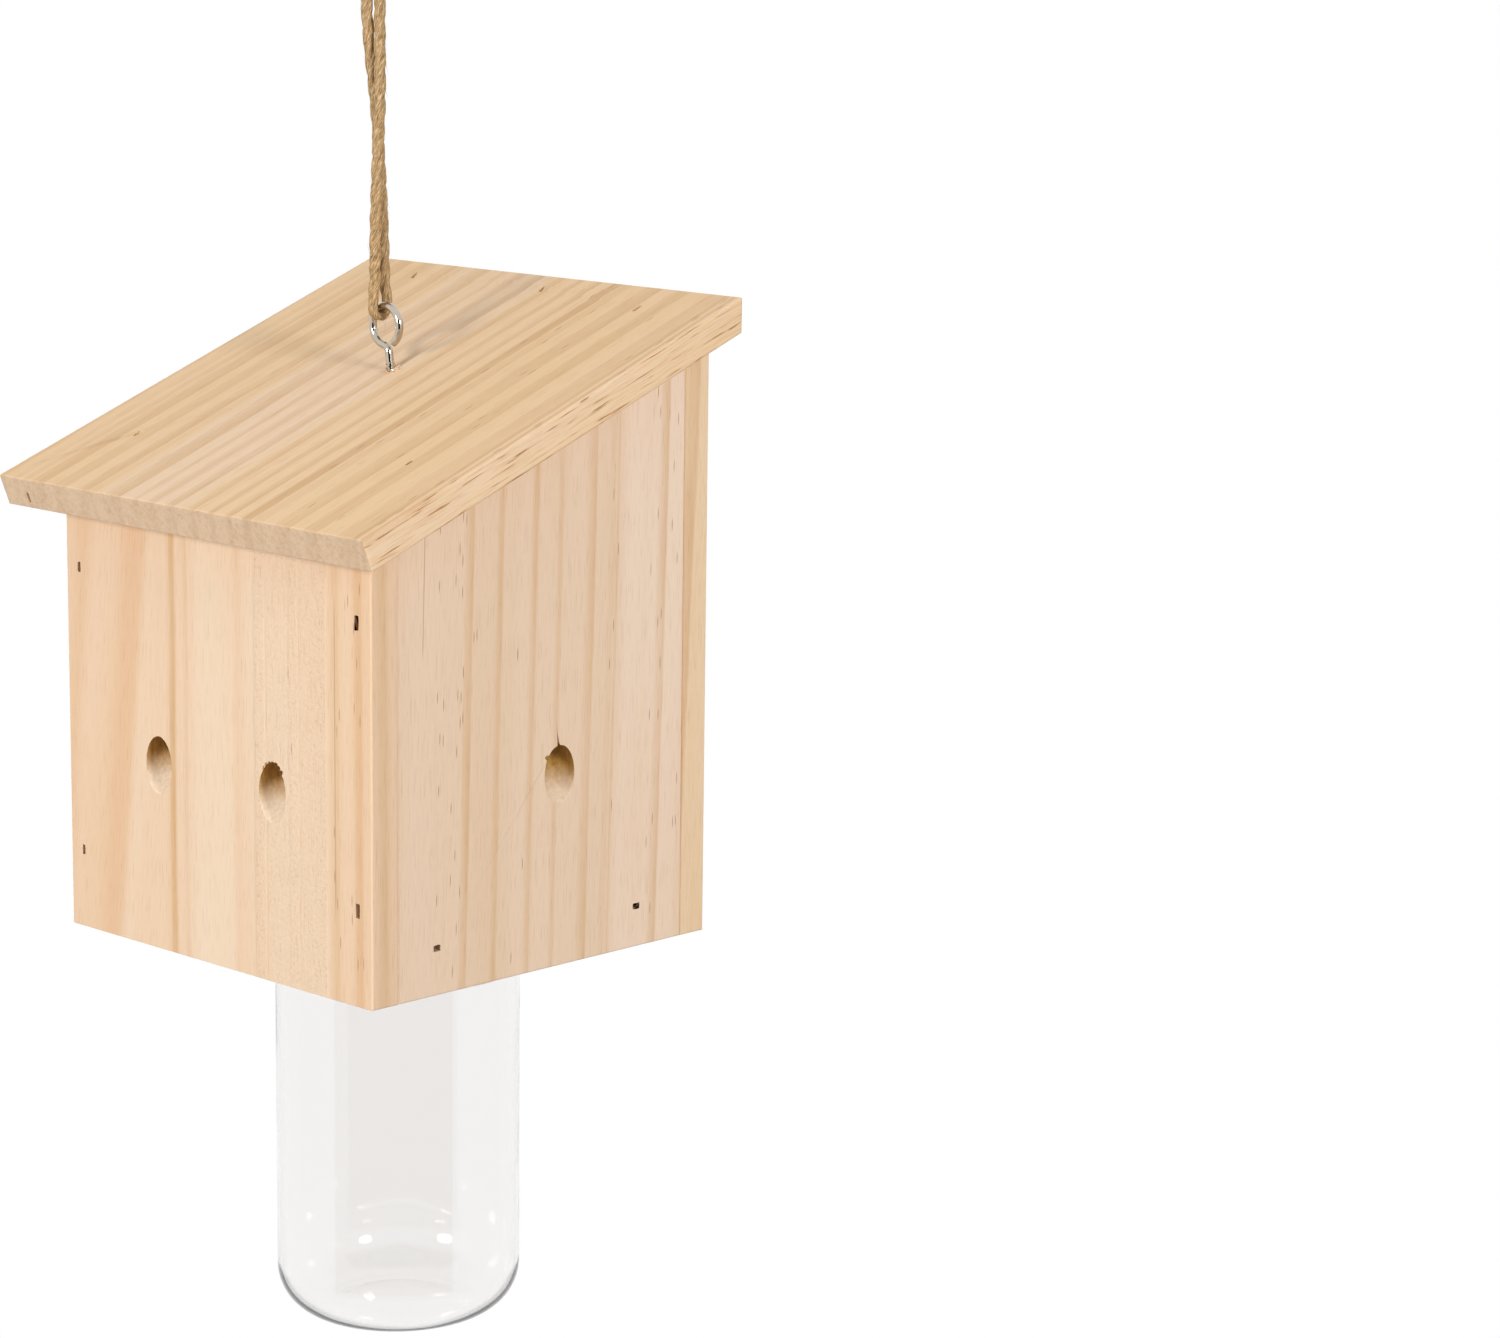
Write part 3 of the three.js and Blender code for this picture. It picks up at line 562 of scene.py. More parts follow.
# Moulded plastics and foam: one colour with a fine mottle, its size in millimetres
def moulded(name, colour, roughness, grain, grain_size):
    material, tree, place = new_material(name)
    mottle = add(tree, "TexNoise", {"Vector": place["Object"],
                                    "Scale": 1 / (grain_size * mm), "Detail": 3.0})
    finish(tree, {"Base Color": colour, "Roughness": roughness, "IOR": 1.5}, mottle, grain, 0.05)
    return material


# Steel wire and screws: drawn or rolled, bright nickel plate or bare with a brown bloom
def steel(name, clean, dull, roughness, grain_size):
    material, tree, place = new_material(name)
    bloom = add(tree, "TexNoise", {"Vector": place["Object"],
                                   "Scale": 1 / (grain_size * mm), "Detail": 3.0})
    tone = add(tree, "Mix", (bloom, clean, dull), data_type="RGBA")
    rough = add(tree, "MapRange", (bloom, 0.0, 1.0, 0.6 * roughness, 1.4 * roughness))
    finish(tree, {"Base Color": tone, "Roughness": rough, "Metallic": 1.0}, bloom, 0.2, 0.02)
    return material


# Blow-moulded clear PET: water-clear, with a faint waviness in its wall
def clear_pet():
    material, tree, place = new_material("blow_moulded_clear_pet")
    # waves about 25 mm long
    waves = add(tree, "TexNoise", {"Vector": place["Object"], "Scale": 40.0, "Detail": 1.0})
    finish(tree, {"Base Color": "f9f8f7", "Roughness": 0.02, "IOR": 1.57,
                  "Transmission Weight": 1.0}, waves, 0.15, 0.5)
    return material


# Three-ply jute twine: dry, hairy bast fibres laid along each ply, straw to brown
def jute_twine():
    material, tree, place = new_material("three_ply_jute")
    # waves along a ply and round it: on the legs, fibres about 2 mm long and 0.3 mm wide
    fibres = drawn_out(tree, place["UV"], (130.0, 22.0, 1.0), 4.0, 0.6)
    tone = add(tree, "ValToRGB", (fibres,), stops=[
        (0.32, "5f4527"), (0.43, "9b7a4e"), (0.54, "be9d70"), (0.69, "e2cca8")])
    finish(tree, {"Base Color": tone, "Roughness": 0.8, "IOR": 1.5}, fibres, 0.9, 0.3)
    return material


bored = bored_pine()
nickel = steel("nickel_plated_steel", "cdc5b7", "b5ac9e", 0.07, 3.0)
brad_steel = steel("bare_brad_steel", "a98763", "6d5239", 0.6, 0.5)
lid_plastic = moulded("moulded_white_polypropylene", "eeeeea", 0.42, 0.3, 0.5)
liner_foam = moulded("polyethylene_foam", "f4f4f2", 0.85, 1.0, 0.3)
pet = clear_pet()
jute = jute_twine()


# Twine: down the front leg, through the eye, and up the back leg
TWINE_DIAMETER = 3.5 * mm
SELF_GAP = 0.45 * mm
TWINE_DROP = 114 * mm
TWINE_AT_EYE = Vector((-1.5, 2.2, -114.7)) * mm  # it has slipped a little to the left
TWINE_TURN = deg(1.47) / mm
TWINE_START = deg(90)
TURN_LAG = 1.6  # over 1, the legs turn round each other less near the eye
TWINE_CLOSING = 9 * mm
BOW = (-1.0 * mm, -0.6 * mm)  # how far the legs stray from plumb, in x and y
BOW_START = 55 * mm
BOW_RISE = 35 * mm
BOW_FALL = 12 * mm
FORK_LENGTH = 20 * mm
FORK_CROWN = 4 * mm
FORK_HALF_WIDTH = 4.9 * mm
KNOT_LEAD = 3 * mm
LEG_STEP = 5 * mm
CURVE_STEP = 0.8 * mm
BIGHT_STEPS = 6
fork_top = TWINE_DROP + FORK_CROWN
fork_foot = fork_top - FORK_LENGTH
legs_top = fork_top + KNOT_LEAD
leg_radius = (TWINE_DIAMETER + SELF_GAP) / 2
bight_radius = 2.85 * mm  # the twine is pressed thinner against the wire


def ease(t):
    t = min(max(t, 0), 1)
    return t * t * (3 - 2 * t)


def leg_point(hand, height):
    """A point on a leg's middle. Hand is -1 in front of the eye and 1 behind it."""
    radius = leg_radius + (bight_radius - leg_radius) * (1 - ease(height / TWINE_CLOSING))
    way_up_fork = (height - fork_foot) / FORK_LENGTH
    radius += (FORK_HALF_WIDTH - leg_radius) * sin(pi * ease(way_up_fork)) ** 2
    way_up_legs = min(max(height, 0) / fork_foot, 1)
    angle = TWINE_START + TWINE_TURN * fork_foot * way_up_legs ** TURN_LAG
    plumb = 1 - height / TWINE_DROP
    bow = ease((height - BOW_START) / BOW_RISE) - ease((height - fork_foot) / BOW_FALL)
    return Vector((
        TWINE_AT_EYE.x * plumb + BOW[0] * bow + hand * radius * cos(angle),
        TWINE_AT_EYE.y * plumb + BOW[1] * bow + hand * radius * sin(angle),
        TWINE_AT_EYE.z + height,
    ))


def twine_route():
    heights = [legs_top, (legs_top + fork_top) / 2]
    height = fork_top
    while height > LEG_STEP / 2:
        heights.append(height)
        height -= LEG_STEP
    down = [leg_point(-1, height) for height in heights]
    up = [leg_point(1, height) for height in reversed(heights)]
    under = [
        TWINE_AT_EYE + Vector((0, cos(turn), sin(turn))) * bight_radius
        for turn in (pi * (1 + i / BIGHT_STEPS) for i in range(BIGHT_STEPS + 1))
    ]
    return [*down, *under, *up]


PLIES = 3
PLY_RADIUS = 1.1 * mm
PLY_OFFSET = 0.7 * mm
PLY_LAY = 22 * mm  # length of one turn of the plies round each other
FIBRE_LAY = 26 * mm
PLY_TWIST = 2 * pi / FIBRE_LAY
PRESSED_SHARE = 0.25  # of the twine's width, lost at the eye over this share of its way
PRESSED_WAY_SHARE = 0.03
ply_section = ringed(PLY_RADIUS, 24, ridges=9, ridge=0.07 * mm)


def pressed(share):
    """How wide the twine is along its way: thinner where the eye's wire presses it."""
    return 1 - PRESSED_SHARE * exp(-((share - 0.5) / PRESSED_WAY_SHARE) ** 2)


def plies_along(points, width=lambda share: 1.0):
    """The middle lines of plies laid round a centre line, one turn in each lay."""
    lines = [[] for _ in range(PLIES)]
    side = Vector((1, 0, 0))
    way = 0.0
    for i, point in enumerate(points):
        before, after = points[max(i - 1, 0)], points[min(i + 1, len(points) - 1)]
        ahead = (after - before).normalized()
        side = (side - ahead * side.dot(ahead)).normalized()
        other = ahead.cross(side)
        way += (point - points[i - 1]).length if i else 0.0
        reach = PLY_OFFSET * width(i / (len(points) - 1))
        for k, line in enumerate(lines):
            turn = 2 * pi * (k / PLIES + way / PLY_LAY)
            line.append(point + (side * cos(turn) + other * sin(turn)) * reach)
    return lines


twine_centre = smooth_points(twine_route(), CURVE_STEP)
twine = finish_mesh(
    "jute_twine",
    tubes(plies_along(twine_centre, width=pressed), ply_section, radius=pressed, twist=PLY_TWIST),
    jute, "twine")
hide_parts("twine_legs")

# Knot: the front leg runs up its core and the back leg is wound round it. Its places
# are outwards and up from the legs' top, in millimetres.
KNOT_TURNS = 2.6
KNOT_STEPS = 26
KNOT_RADIUS = 3.35
KNOT_FOOT = 2.2
KNOT_HEIGHT = 12
TAIL_LENGTH = 11
WINDING_STEP = 0.6 * mm
CORE_PLACES = (
    (-1.6, 4), (-1.3, KNOT_HEIGHT + 1), (-3.2, KNOT_HEIGHT + TAIL_LENGTH * 0.5),
    (-5, KNOT_HEIGHT + TAIL_LENGTH))
TAIL_PLACES = (
    (2.6, KNOT_HEIGHT + 2), (4.2, KNOT_HEIGHT + TAIL_LENGTH * 0.6), (5.2, KNOT_HEIGHT + TAIL_LENGTH))


def knot_lines():
    front = leg_point(-1, legs_top)
    back = leg_point(1, legs_top)
    middle = (front + back) / 2
    up = Vector((0, 0, 1))
    outward = (back - front).normalized()
    sideways = up.cross(outward)

    def placed(direction, reach, height):
        return middle + direction * reach * mm + up * height * mm

    core = [front, *(placed(outward, *place) for place in CORE_PLACES)]
    wound = [back]
    for i in range(KNOT_STEPS + 1):
        share = i / KNOT_STEPS
        turn = 2 * pi * KNOT_TURNS * share
        wound.append(placed(outward * cos(turn) + sideways * sin(turn), KNOT_RADIUS,
                            KNOT_FOOT + (KNOT_HEIGHT - KNOT_FOOT - 2) * share))
    last = wound[-1] - middle
    flat = Vector((last.x, last.y, 0)).normalized()
    wound += [placed(flat, *place) for place in TAIL_PLACES]
    return [smooth_points(core, CURVE_STEP), smooth_points(wound, WINDING_STEP)]


knot = finish_mesh(
    "tied_knot",
    tubes([ply for line in knot_lines() for ply in plies_along(line)], ply_section, twist=PLY_TWIST),
    jute, "twine")
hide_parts("twine_knot")


def loose_fibres(points, count, seed):
    """Fine fibres that stand off the twine, each with its own lift."""
    draw = random.Random(seed)
    lines = []
    for _ in range(count):
        i = draw.randrange(4, len(points) - 8)
        start = points[i]
        ahead = (points[i + 3] - start).normalized() * draw.choice((-1, 1))
        off = Vector([draw.uniform(-1, 1) for _ in range(3)])
        off = (off - ahead * off.dot(ahead)).normalized()
        length = draw.uniform(2.5, 7) * mm
        lift = draw.uniform(0.2, 0.9) * mm
        place = start + off * TWINE_DIAMETER * 0.45
        lines.append([
            place + ahead * length * share + off * lift * share ** 1.6
            for share in (0, 0.25, 0.5, 0.75, 1)])
    return lines


FIBRE_COUNT = 190
FIBRE_RADIUS = 0.045 * mm
fuzz = finish_mesh(
    "loose_jute_fibres",
    tubes(loose_fibres(twine_centre, FIBRE_COUNT, 5), ringed(FIBRE_RADIUS, 3),
          radius=lambda share: 1 - 0.6 * share),
    jute, "twine")


# Boards: closed up at their seams, the arrises eased and the tunnels' mouths ragged
MOUTH_REACH = 9.5 * mm  # half the length of a mouth, and a little more
MOUTH_TEAR = 0.12 * mm
BORE_REACH = 6.2 * mm
SLOT_REACH = 3 * mm
SLOT_TEAR = 0.25 * mm
FLOOR_SLOT_SHARE = 0.62  # of a driver's slot, left open round its brad
LEFT_SLOT_SHARE = 0.7
ROOF_SLOT_SHARE = 0.5
BITES_REACH = (6.1, 8.8)  # of the bites in a mouth's rim, aside and up, in millimetres
BRAD_EDGE = 0.08 * mm
TUNNEL_RISE = deg(47)
HOLE_ASIDE = 26.3  # of a hole in the front, in millimetres
FRONT_HOLE_HEIGHT = 56.6
SIDE_HOLE_BACK = 5.9
SIDE_HOLE_HEIGHT = 58.4
run, rise = cos(TUNNEL_RISE), sin(TUNNEL_RISE)
tunnels = {  # the middle of each mouth, the axis square to its face, and its way in
    "front_panel": [
        (in_house(aside, -HALF_DEPTH, FRONT_HOLE_HEIGHT), 1, Vector((0, run, rise)))
        for aside in (-HOLE_ASIDE, HOLE_ASIDE)],
    "right_side": [
        (in_house(HALF_WIDTH, SIDE_HOLE_BACK, SIDE_HOLE_HEIGHT), 0, Vector((-run, 0, rise)))],
    "left_side": [
        (in_house(-HALF_WIDTH, SIDE_HOLE_BACK, SIDE_HOLE_HEIGHT), 0, Vector((run, 0, rise)))],
}


def board_copy(mesh):
    bm = bmesh.new()
    bm.from_mesh(mesh)
    bmesh.ops.remove_doubles(bm, verts=bm.verts, dist=WELD)
    bmesh.ops.dissolve_limit(bm, angle_limit=deg(0.5), verts=bm.verts, edges=bm.edges)
    return bm


def tear_rim(bm, centre, side, reach, bites, seed):
    """Makes the rim of a hole a little ragged, by up to the depth of the bites."""
    draw = random.Random(seed)

    def on_rim(vert):
        off = vert.co - centre
        return abs(off[side]) < 0.02 * mm and off.length < reach

    rim = [edge for edge in bm.edges if all(on_rim(vert) for vert in edge.verts)]
    bmesh.ops.subdivide_edges(bm, edges=rim, cuts=2)
    for vert in bm.verts:
        if on_rim(vert):
            vert.co += (vert.co - centre).normalized() * draw.uniform(0.0, bites)


ROOF_ARRIS = 0.4 * mm
BOX_ARRIS = 0.15 * mm
LONG_EDGE = 8 * mm


def ease_arrises(bm, width):
    """Rounds the board's long edges, and leaves those of its holes sharp."""
    arrises = [edge for edge in bm.edges
               if edge.calc_length() > LONG_EDGE and edge.calc_face_angle(0) > deg(35)]
    bmesh.ops.bevel(bm, geom=arrises, offset=width, segments=2, profile=0.5,
                    affect="EDGES", material=-1)


def pinch_slot(bm, centre, along, share):
    """Draws a driver's slot in round its brad."""
    for vert in bm.verts:
        if (vert.co - centre).length < SLOT_REACH:
            vert.co[along] = centre[along] + (vert.co[along] - centre[along]) * share


def mark_bored(mesh, centre, way_in):
    """Gives the faces on a tunnel's wall the board's second material."""
    for face in mesh.polygons:
        off = face.center - centre
        beside = (off - way_in * off.dot(way_in)).length
        if beside < BORE_REACH and abs(face.normal.dot(way_in)) < 0.4:
            face.material_index = 1
            face.use_smooth = True


# The crack's outline and the chip's middle, on the right side, are back and up from the
# house's own place, in millimetres
CRACK_OUTLINE = ((5.2, 66.0), (6.4, 66.0), (5.0, 71), (4.5, 75.5))
CRACK_DEPTH = 1
OVERRUN = 1  # of the cutter, out of the board
CHIP_PLACE = (1.1, 64.0)
CHIP_SIZE = (0.9, 1.0, 0.9)
BITE_RADIUS = (0.7, 1.2)
EMPTY_SLOT_SIZE = (1.0, 3.0, 3.3)
EMPTY_SLOT_PLACE = (-71.7, -79.8, 133.5)


def crack_and_chip():
    """A crack that runs up the grain from the right side's mouth, and a chip off its rim."""
    crack = bmesh.new()
    face = crack.faces.new([
        crack.verts.new(in_house(HALF_WIDTH + OVERRUN, *corner)) for corner in CRACK_OUTLINE])
    grown = bmesh.ops.extrude_face_region(crack, geom=[face])
    moved = [part for part in grown["geom"] if isinstance(part, bmesh.types.BMVert)]
    bmesh.ops.translate(crack, verts=moved, vec=(-(OVERRUN + CRACK_DEPTH) * mm, 0, 0))
    chip = bmesh.new()
    bmesh.ops.create_icosphere(chip, subdivisions=2, radius=1)
    draw = random.Random(4)
    for vert in chip.verts:
        vert.co *= draw.uniform(0.8, 1.15)
    chip.transform(Matrix.Translation(in_house(HALF_WIDTH, *CHIP_PLACE))
                   @ Matrix.Diagonal((*(size * mm for size in CHIP_SIZE), 1)))
    return [crack, chip]


def rim_bites():
    """Fibres torn out over the right-hand mouth of the front."""
    bites = []
    draw = random.Random(11)
    for angle in range(50, 131, 13):
        bite = bmesh.new()
        bmesh.ops.create_icosphere(bite, subdivisions=1, radius=draw.uniform(*BITE_RADIUS) * mm)
        bite.transform(Matrix.Translation(in_house(
            HOLE_ASIDE + BITES_REACH[0] * cos(deg(angle)), -HALF_DEPTH,
            FRONT_HOLE_HEIGHT + BITES_REACH[1] * sin(deg(angle)))))
        bites.append(bite)
    return bites


def brad_slot():
    """An empty slot that a brad left in the roof's front edge."""
    size = [side * mm for side in EMPTY_SLOT_SIZE]
    return [block(size, in_house(*EMPTY_SLOT_PLACE), ROOF_SLOPE)]


def seat_brads(bm, brad, side):
    """Draws a board's slots in round its brads, and tears their rims."""
    for i, node in enumerate(sorted(node for node in nodes if node.startswith(brad))):
        low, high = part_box(node)
        centre = (low + high) / 2
        outward = 1 if centre[side] > HOUSE[side] else -1
        centre[side] = outward * max(outward * vert.co[side] for vert in bm.verts)
        if "floor_brad" in node:
            pinch_slot(bm, centre, 1, FLOOR_SLOT_SHARE)
        elif centre.x < HOUSE.x:
            pinch_slot(bm, centre, 2, LEFT_SLOT_SHARE)
            pinch_slot(bm, centre, 0, LEFT_SLOT_SHARE)
        tear_rim(bm, centre, side, SLOT_REACH, SLOT_TEAR, seed=40 + i)


def seat_roof_brads(bm):
    """Draws the roof's slots in round the heads of its brads."""
    for node in (node for node in nodes if node.startswith("roof_brad")):
        heights = sorted((vert.co for vert in nodes[node].data.vertices), key=lambda co: co.z)
        pinch_slot(bm, sum(heights[-4:], Vector()) / 4, 1, ROOF_SLOT_SHARE)


def close_seams(bm, node):
    """Lengthens a side to meet the front and the back."""
    low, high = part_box(node)
    for vert in bm.verts:
        if vert.co.y - low.y < SEAM:
            vert.co.y -= SEAM
        elif high.y - vert.co.y < SEAM:
            vert.co.y += SEAM


cuts = {"front_panel": rim_bites, "right_side": crack_and_chip, "roof_board": brad_slot}
brads_in = {  # each board's brads, and the axis square to its outer face
    "front_panel": ("front_brad", 1), "right_side": ("right_floor_brad", 0),
    "left_side": ("left_floor_brad", 0), "back_panel": ("back_brad", 1),
}
for node, name, material, slot in (
    ("front_panel", "front_board", pine_front, "pine_front"),
    ("right_side", "right_board", pine_side, "pine_side"),
    ("left_side", "left_board", pine_left, "pine_side"),
    ("back_panel", "back_board", pine_back, "pine"),
    ("floor_board", "bottom_board", pine_floor, "pine"),
    ("roof_board", "roof", pine_roof, "pine"),
):
    bm = board_copy(nodes[node].data)
    if node in cuts:
        bm = board_copy(carve(mesh_from(bm), cuts[node]()))
    if node in ("right_side", "left_side"):
        close_seams(bm, node)
    for i, (centre, side, _) in enumerate(tunnels.get(node, ())):
        tear_rim(bm, centre, side, MOUTH_REACH, MOUTH_TEAR, seed=i + len(name))
    if node in brads_in:
        seat_brads(bm, *brads_in[node])
    if node == "roof_board":
        seat_roof_brads(bm)
    ease_arrises(bm, ROOF_ARRIS if node == "roof_board" else BOX_ARRIS)
    mesh = mesh_from(bm)
    mesh.shade_flat()
    piece = finish_mesh(name, mesh, material, "house")
    if node in tunnels:
        mesh.materials.append(bored)
        for centre, _, way_in in tunnels[node]:
            mark_bored(mesh, centre, way_in)
    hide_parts(node)

# Brads, their edges softened
for node in sorted(nodes):
    if "brad" in node:
        bm = board_copy(nodes[node].data)
        bmesh.ops.bevel(bm, geom=bm.edges[:], offset=BRAD_EDGE, segments=1, profile=0.5,
                        affect="EDGES", material=-1)
        piece = finish_mesh("driven_" + node, mesh_from(bm, sharp=deg(30)), brad_steel,
                            "house")
        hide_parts(node)


# Screw eye: one wire, up the shank, out to the left and clockwise round the ring
EYE_WIRE = 2.4 * mm
RING_TOP = Vector((1.3, 2.2, -114)) * mm  # the middle of the wire, above the ring's
RING_RADIUS = 6 * mm
BEND_RADIUS = 2.5 * mm
RING_HEIGHT = 13.5 * mm
CLOSING_ANGLE = deg(-66)
SCREW_LENGTH = 15 * mm
EYE_LEAN = deg(9)
TIP_SHARE = 0.044  # of the wire's points, up to its full width
EYE_PITCH = 1.1
EYE_THREAD = helix(EYE_WIRE / 2 / mm, EYE_PITCH, -12, 3.2, 15)
SHANK_STEPS = 30
BEND_STEPS = 12
RING_STEPS = 72
eye_turn = Matrix.Rotation(-EYE_LEAN, 3, "Y")
eye_foot = RING_TOP - Vector((0, 0, RING_RADIUS)) - eye_turn @ Vector((0, 0, RING_HEIGHT))
eye_place = Matrix.Translation(eye_foot) @ eye_turn.to_4x4()


def eye_wire():
    reach = RING_RADIUS + BEND_RADIUS
    bend_height = RING_HEIGHT - sqrt(reach ** 2 - BEND_RADIUS ** 2)
    bend_angle = acos(BEND_RADIUS / reach)
    points = [
        Vector((0, 0, -SCREW_LENGTH + (bend_height + SCREW_LENGTH) * i / SHANK_STEPS))
        for i in range(SHANK_STEPS + 1)
    ]
    for i in range(1, BEND_STEPS + 1):
        a = bend_angle * i / BEND_STEPS
        points.append(Vector((BEND_RADIUS * (cos(a) - 1), 0,
                              bend_height + BEND_RADIUS * sin(a))))
    start = bend_angle - pi
    turn = 2 * pi + start - CLOSING_ANGLE
    for i in range(1, RING_STEPS + 1):
        a = start - turn * i / RING_STEPS
        points.append(Vector((RING_RADIUS * cos(a), 0, RING_HEIGHT + RING_RADIUS * sin(a))))
    return points


eye_parts = [
    tubes([eye_wire()], ringed(EYE_WIRE / 2, 28),
          radius=lambda share: min(1.0, 0.12 + share / TIP_SHARE)),
    tubes([EYE_THREAD], ringed(0.34 * mm, 6), radius=fade_ends),
]
eye = finish_mesh("bent_screw_eye", merged(eye_parts, eye_place), nickel, "house")
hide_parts("screw_eye")


def torn_fibres(count, seed):
    """Pale splinters pushed up round the eye's shank."""
    draw = random.Random(seed)
    lines = []
    for i in range(count):
        turn = 2 * pi * (i + draw.uniform(-0.3, 0.3)) / count
        out = Vector((cos(turn), sin(turn), 0))
        slope = tan(ROOF_SLOPE)
        foot = out * draw.uniform(1.25, 1.75) * mm
        foot.z = foot.y * slope - 0.2 * mm
        reach = out * draw.uniform(0.5, 1.7) * mm
        reach.z = draw.uniform(0.6, 1.5) * mm + reach.y * slope
        lines.append([foot, foot + reach * 0.55, foot + reach])
    return lines


slivers = tubes(torn_fibres(17, 9), ringed(0.32 * mm, 5), radius=lambda share: 1 - 0.75 * share)
splinters = finish_mesh(
    "torn_pine_fibres", merged([slivers], Matrix.Translation(eye_foot)), pine_roof, "house")

# Lid, liner and jar share one upright axis; 0 is the lid's top. Their sizes are millimetres.
jar_low, jar_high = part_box("jar")
lid_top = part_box("jar_lid")[1].z
jar_axis = Vector(((jar_low.x + jar_high.x) / 2, (jar_low.y + jar_high.y) / 2, lid_top))
THREAD_PITCH = 4.23
THREAD_BEAD = ringed(0.38 * mm, 8)
LID_THREAD = (-9.785, -4.5)  # the heights where it starts and ends
LID_HOLE = 16
LID_OUTER = 36.75
LID_INNER = 35.05
LID_SHOULDER = 1.1
LID_RIBS = 60
LID_RIB = 0.5
lid_body = lathe([
    (LID_HOLE, 0), (LID_HOLE, -1.5), (34.6, -1.5), (LID_INNER, -1.9), (LID_INNER, -13.7),
    *arc((LID_INNER + 0.3, -13.7), 0.3, 180, 270, 3), *arc((LID_OUTER - 0.4, -13.6), 0.4, 270, 360, 4),
    *((LID_OUTER, height) for height in (-13, -11, -3, -2.2, -1.2)),
    *arc((LID_OUTER - LID_SHOULDER, -LID_SHOULDER), LID_SHOULDER, 0, 90, 6),
    (LID_HOLE + 0.4, 0), (LID_HOLE, 0)], steps=LID_RIBS * 12)
for vert in lid_body.vertices:
    if vert.co.xy.length > (LID_OUTER - 0.05) * mm and -13.3 * mm < vert.co.z < -2.5 * mm:
        around = atan2(vert.co.y, vert.co.x)
        grown = 1 + LID_RIB / LID_OUTER * max(0.0, cos(LID_RIBS * around)) ** 2
        vert.co.x *= grown
        vert.co.y *= grown
lid_thread = tubes([helix(LID_INNER, THREAD_PITCH, *LID_THREAD)], THREAD_BEAD, radius=fade_ends)
LID_SCREWS = 3
SCREW_CIRCLE = 23
SCREW_SINK = 1.8
SCREW_HOLE = 1.7
lid_screw_places = [
    Matrix.Rotation(deg(360 / LID_SCREWS * i), 4, "Z")
    @ Matrix.Translation((SCREW_CIRCLE * mm, 0, -SCREW_SINK * mm))
    for i in range(LID_SCREWS)
]
screw_holes = []
for seat in lid_screw_places:
    hole = bmesh.new()
    bmesh.ops.create_cone(hole, cap_ends=True, segments=24, radius1=SCREW_HOLE * mm,
                          radius2=SCREW_HOLE * mm, depth=4 * mm)
    hole.transform(seat)
    screw_holes.append(hole)
lid = finish_mesh(
    "jar_screw_lid",
    merged([carve(lid_body, screw_holes), lid_thread], Matrix.Translation(jar_axis)),
    lid_plastic, "house")
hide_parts("jar_lid")

# Lid screws: pan heads with a cross recess
SCREW_SHANK = 1.15
SCREW_PITCH = 1.25
SCREW_HEAD = 2.9
RECESS_LONG = 3.1 * mm
RECESS_WIDE = 0.75 * mm
RECESS_DEEP = 1.8 * mm
head_top = (0, 0, -2.0 * mm)
screw_blank = carve(
    lathe([
        (0, 9), (SCREW_SHANK, 7.5), (SCREW_SHANK, 0), (SCREW_HEAD, 0), (SCREW_HEAD, -0.9),
        *arc((SCREW_HEAD - 1.0, -0.95), 1.0, 0, -90, 6), (0, -2.0)], steps=32),
    [block((RECESS_LONG, RECESS_WIDE, RECESS_DEEP), head_top),
     block((RECESS_WIDE, RECESS_LONG, RECESS_DEEP), head_top)])
screw_thread = tubes(
    [helix(SCREW_SHANK, SCREW_PITCH, 0.6, 8.0, 20)], ringed(0.22 * mm, 6), radius=fade_ends)
for i, seat in enumerate(lid_screw_places):
    screw = finish_mesh(
        f"pan_head_screw_{i + 1}",
        merged([screw_blank, screw_thread],
               Matrix.Translation(jar_axis) @ seat @ Matrix.Rotation(deg(25 * i), 4, "Z")),
        nickel, "house")
    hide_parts(f"lid_screw_{i + 1}")

# Liner: a foam ring on the jar's rim
LINER_INNER = 29.95
LINER_OUTER = 34.5
LINER_EDGE = 0.2
liner_mesh = lathe([
    (LINER_INNER, -2.8), (LINER_OUTER - LINER_EDGE, -2.8),
    *arc((LINER_OUTER - LINER_EDGE, -2.6), LINER_EDGE, -90, 0, 3),
    *arc((LINER_OUTER - LINER_EDGE, -2.0), LINER_EDGE, 0, 90, 3),
    (LINER_INNER, -1.8), *arc((LINER_INNER, -2.0), LINER_EDGE, 90, 180, 3),
    *arc((LINER_INNER, -2.6), LINER_EDGE, 180, 270, 3)])
liner = finish_mesh(
    "foam_liner", merged([liner_mesh], Matrix.Translation(jar_axis)), liner_foam, "liner")
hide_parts("lid_liner")

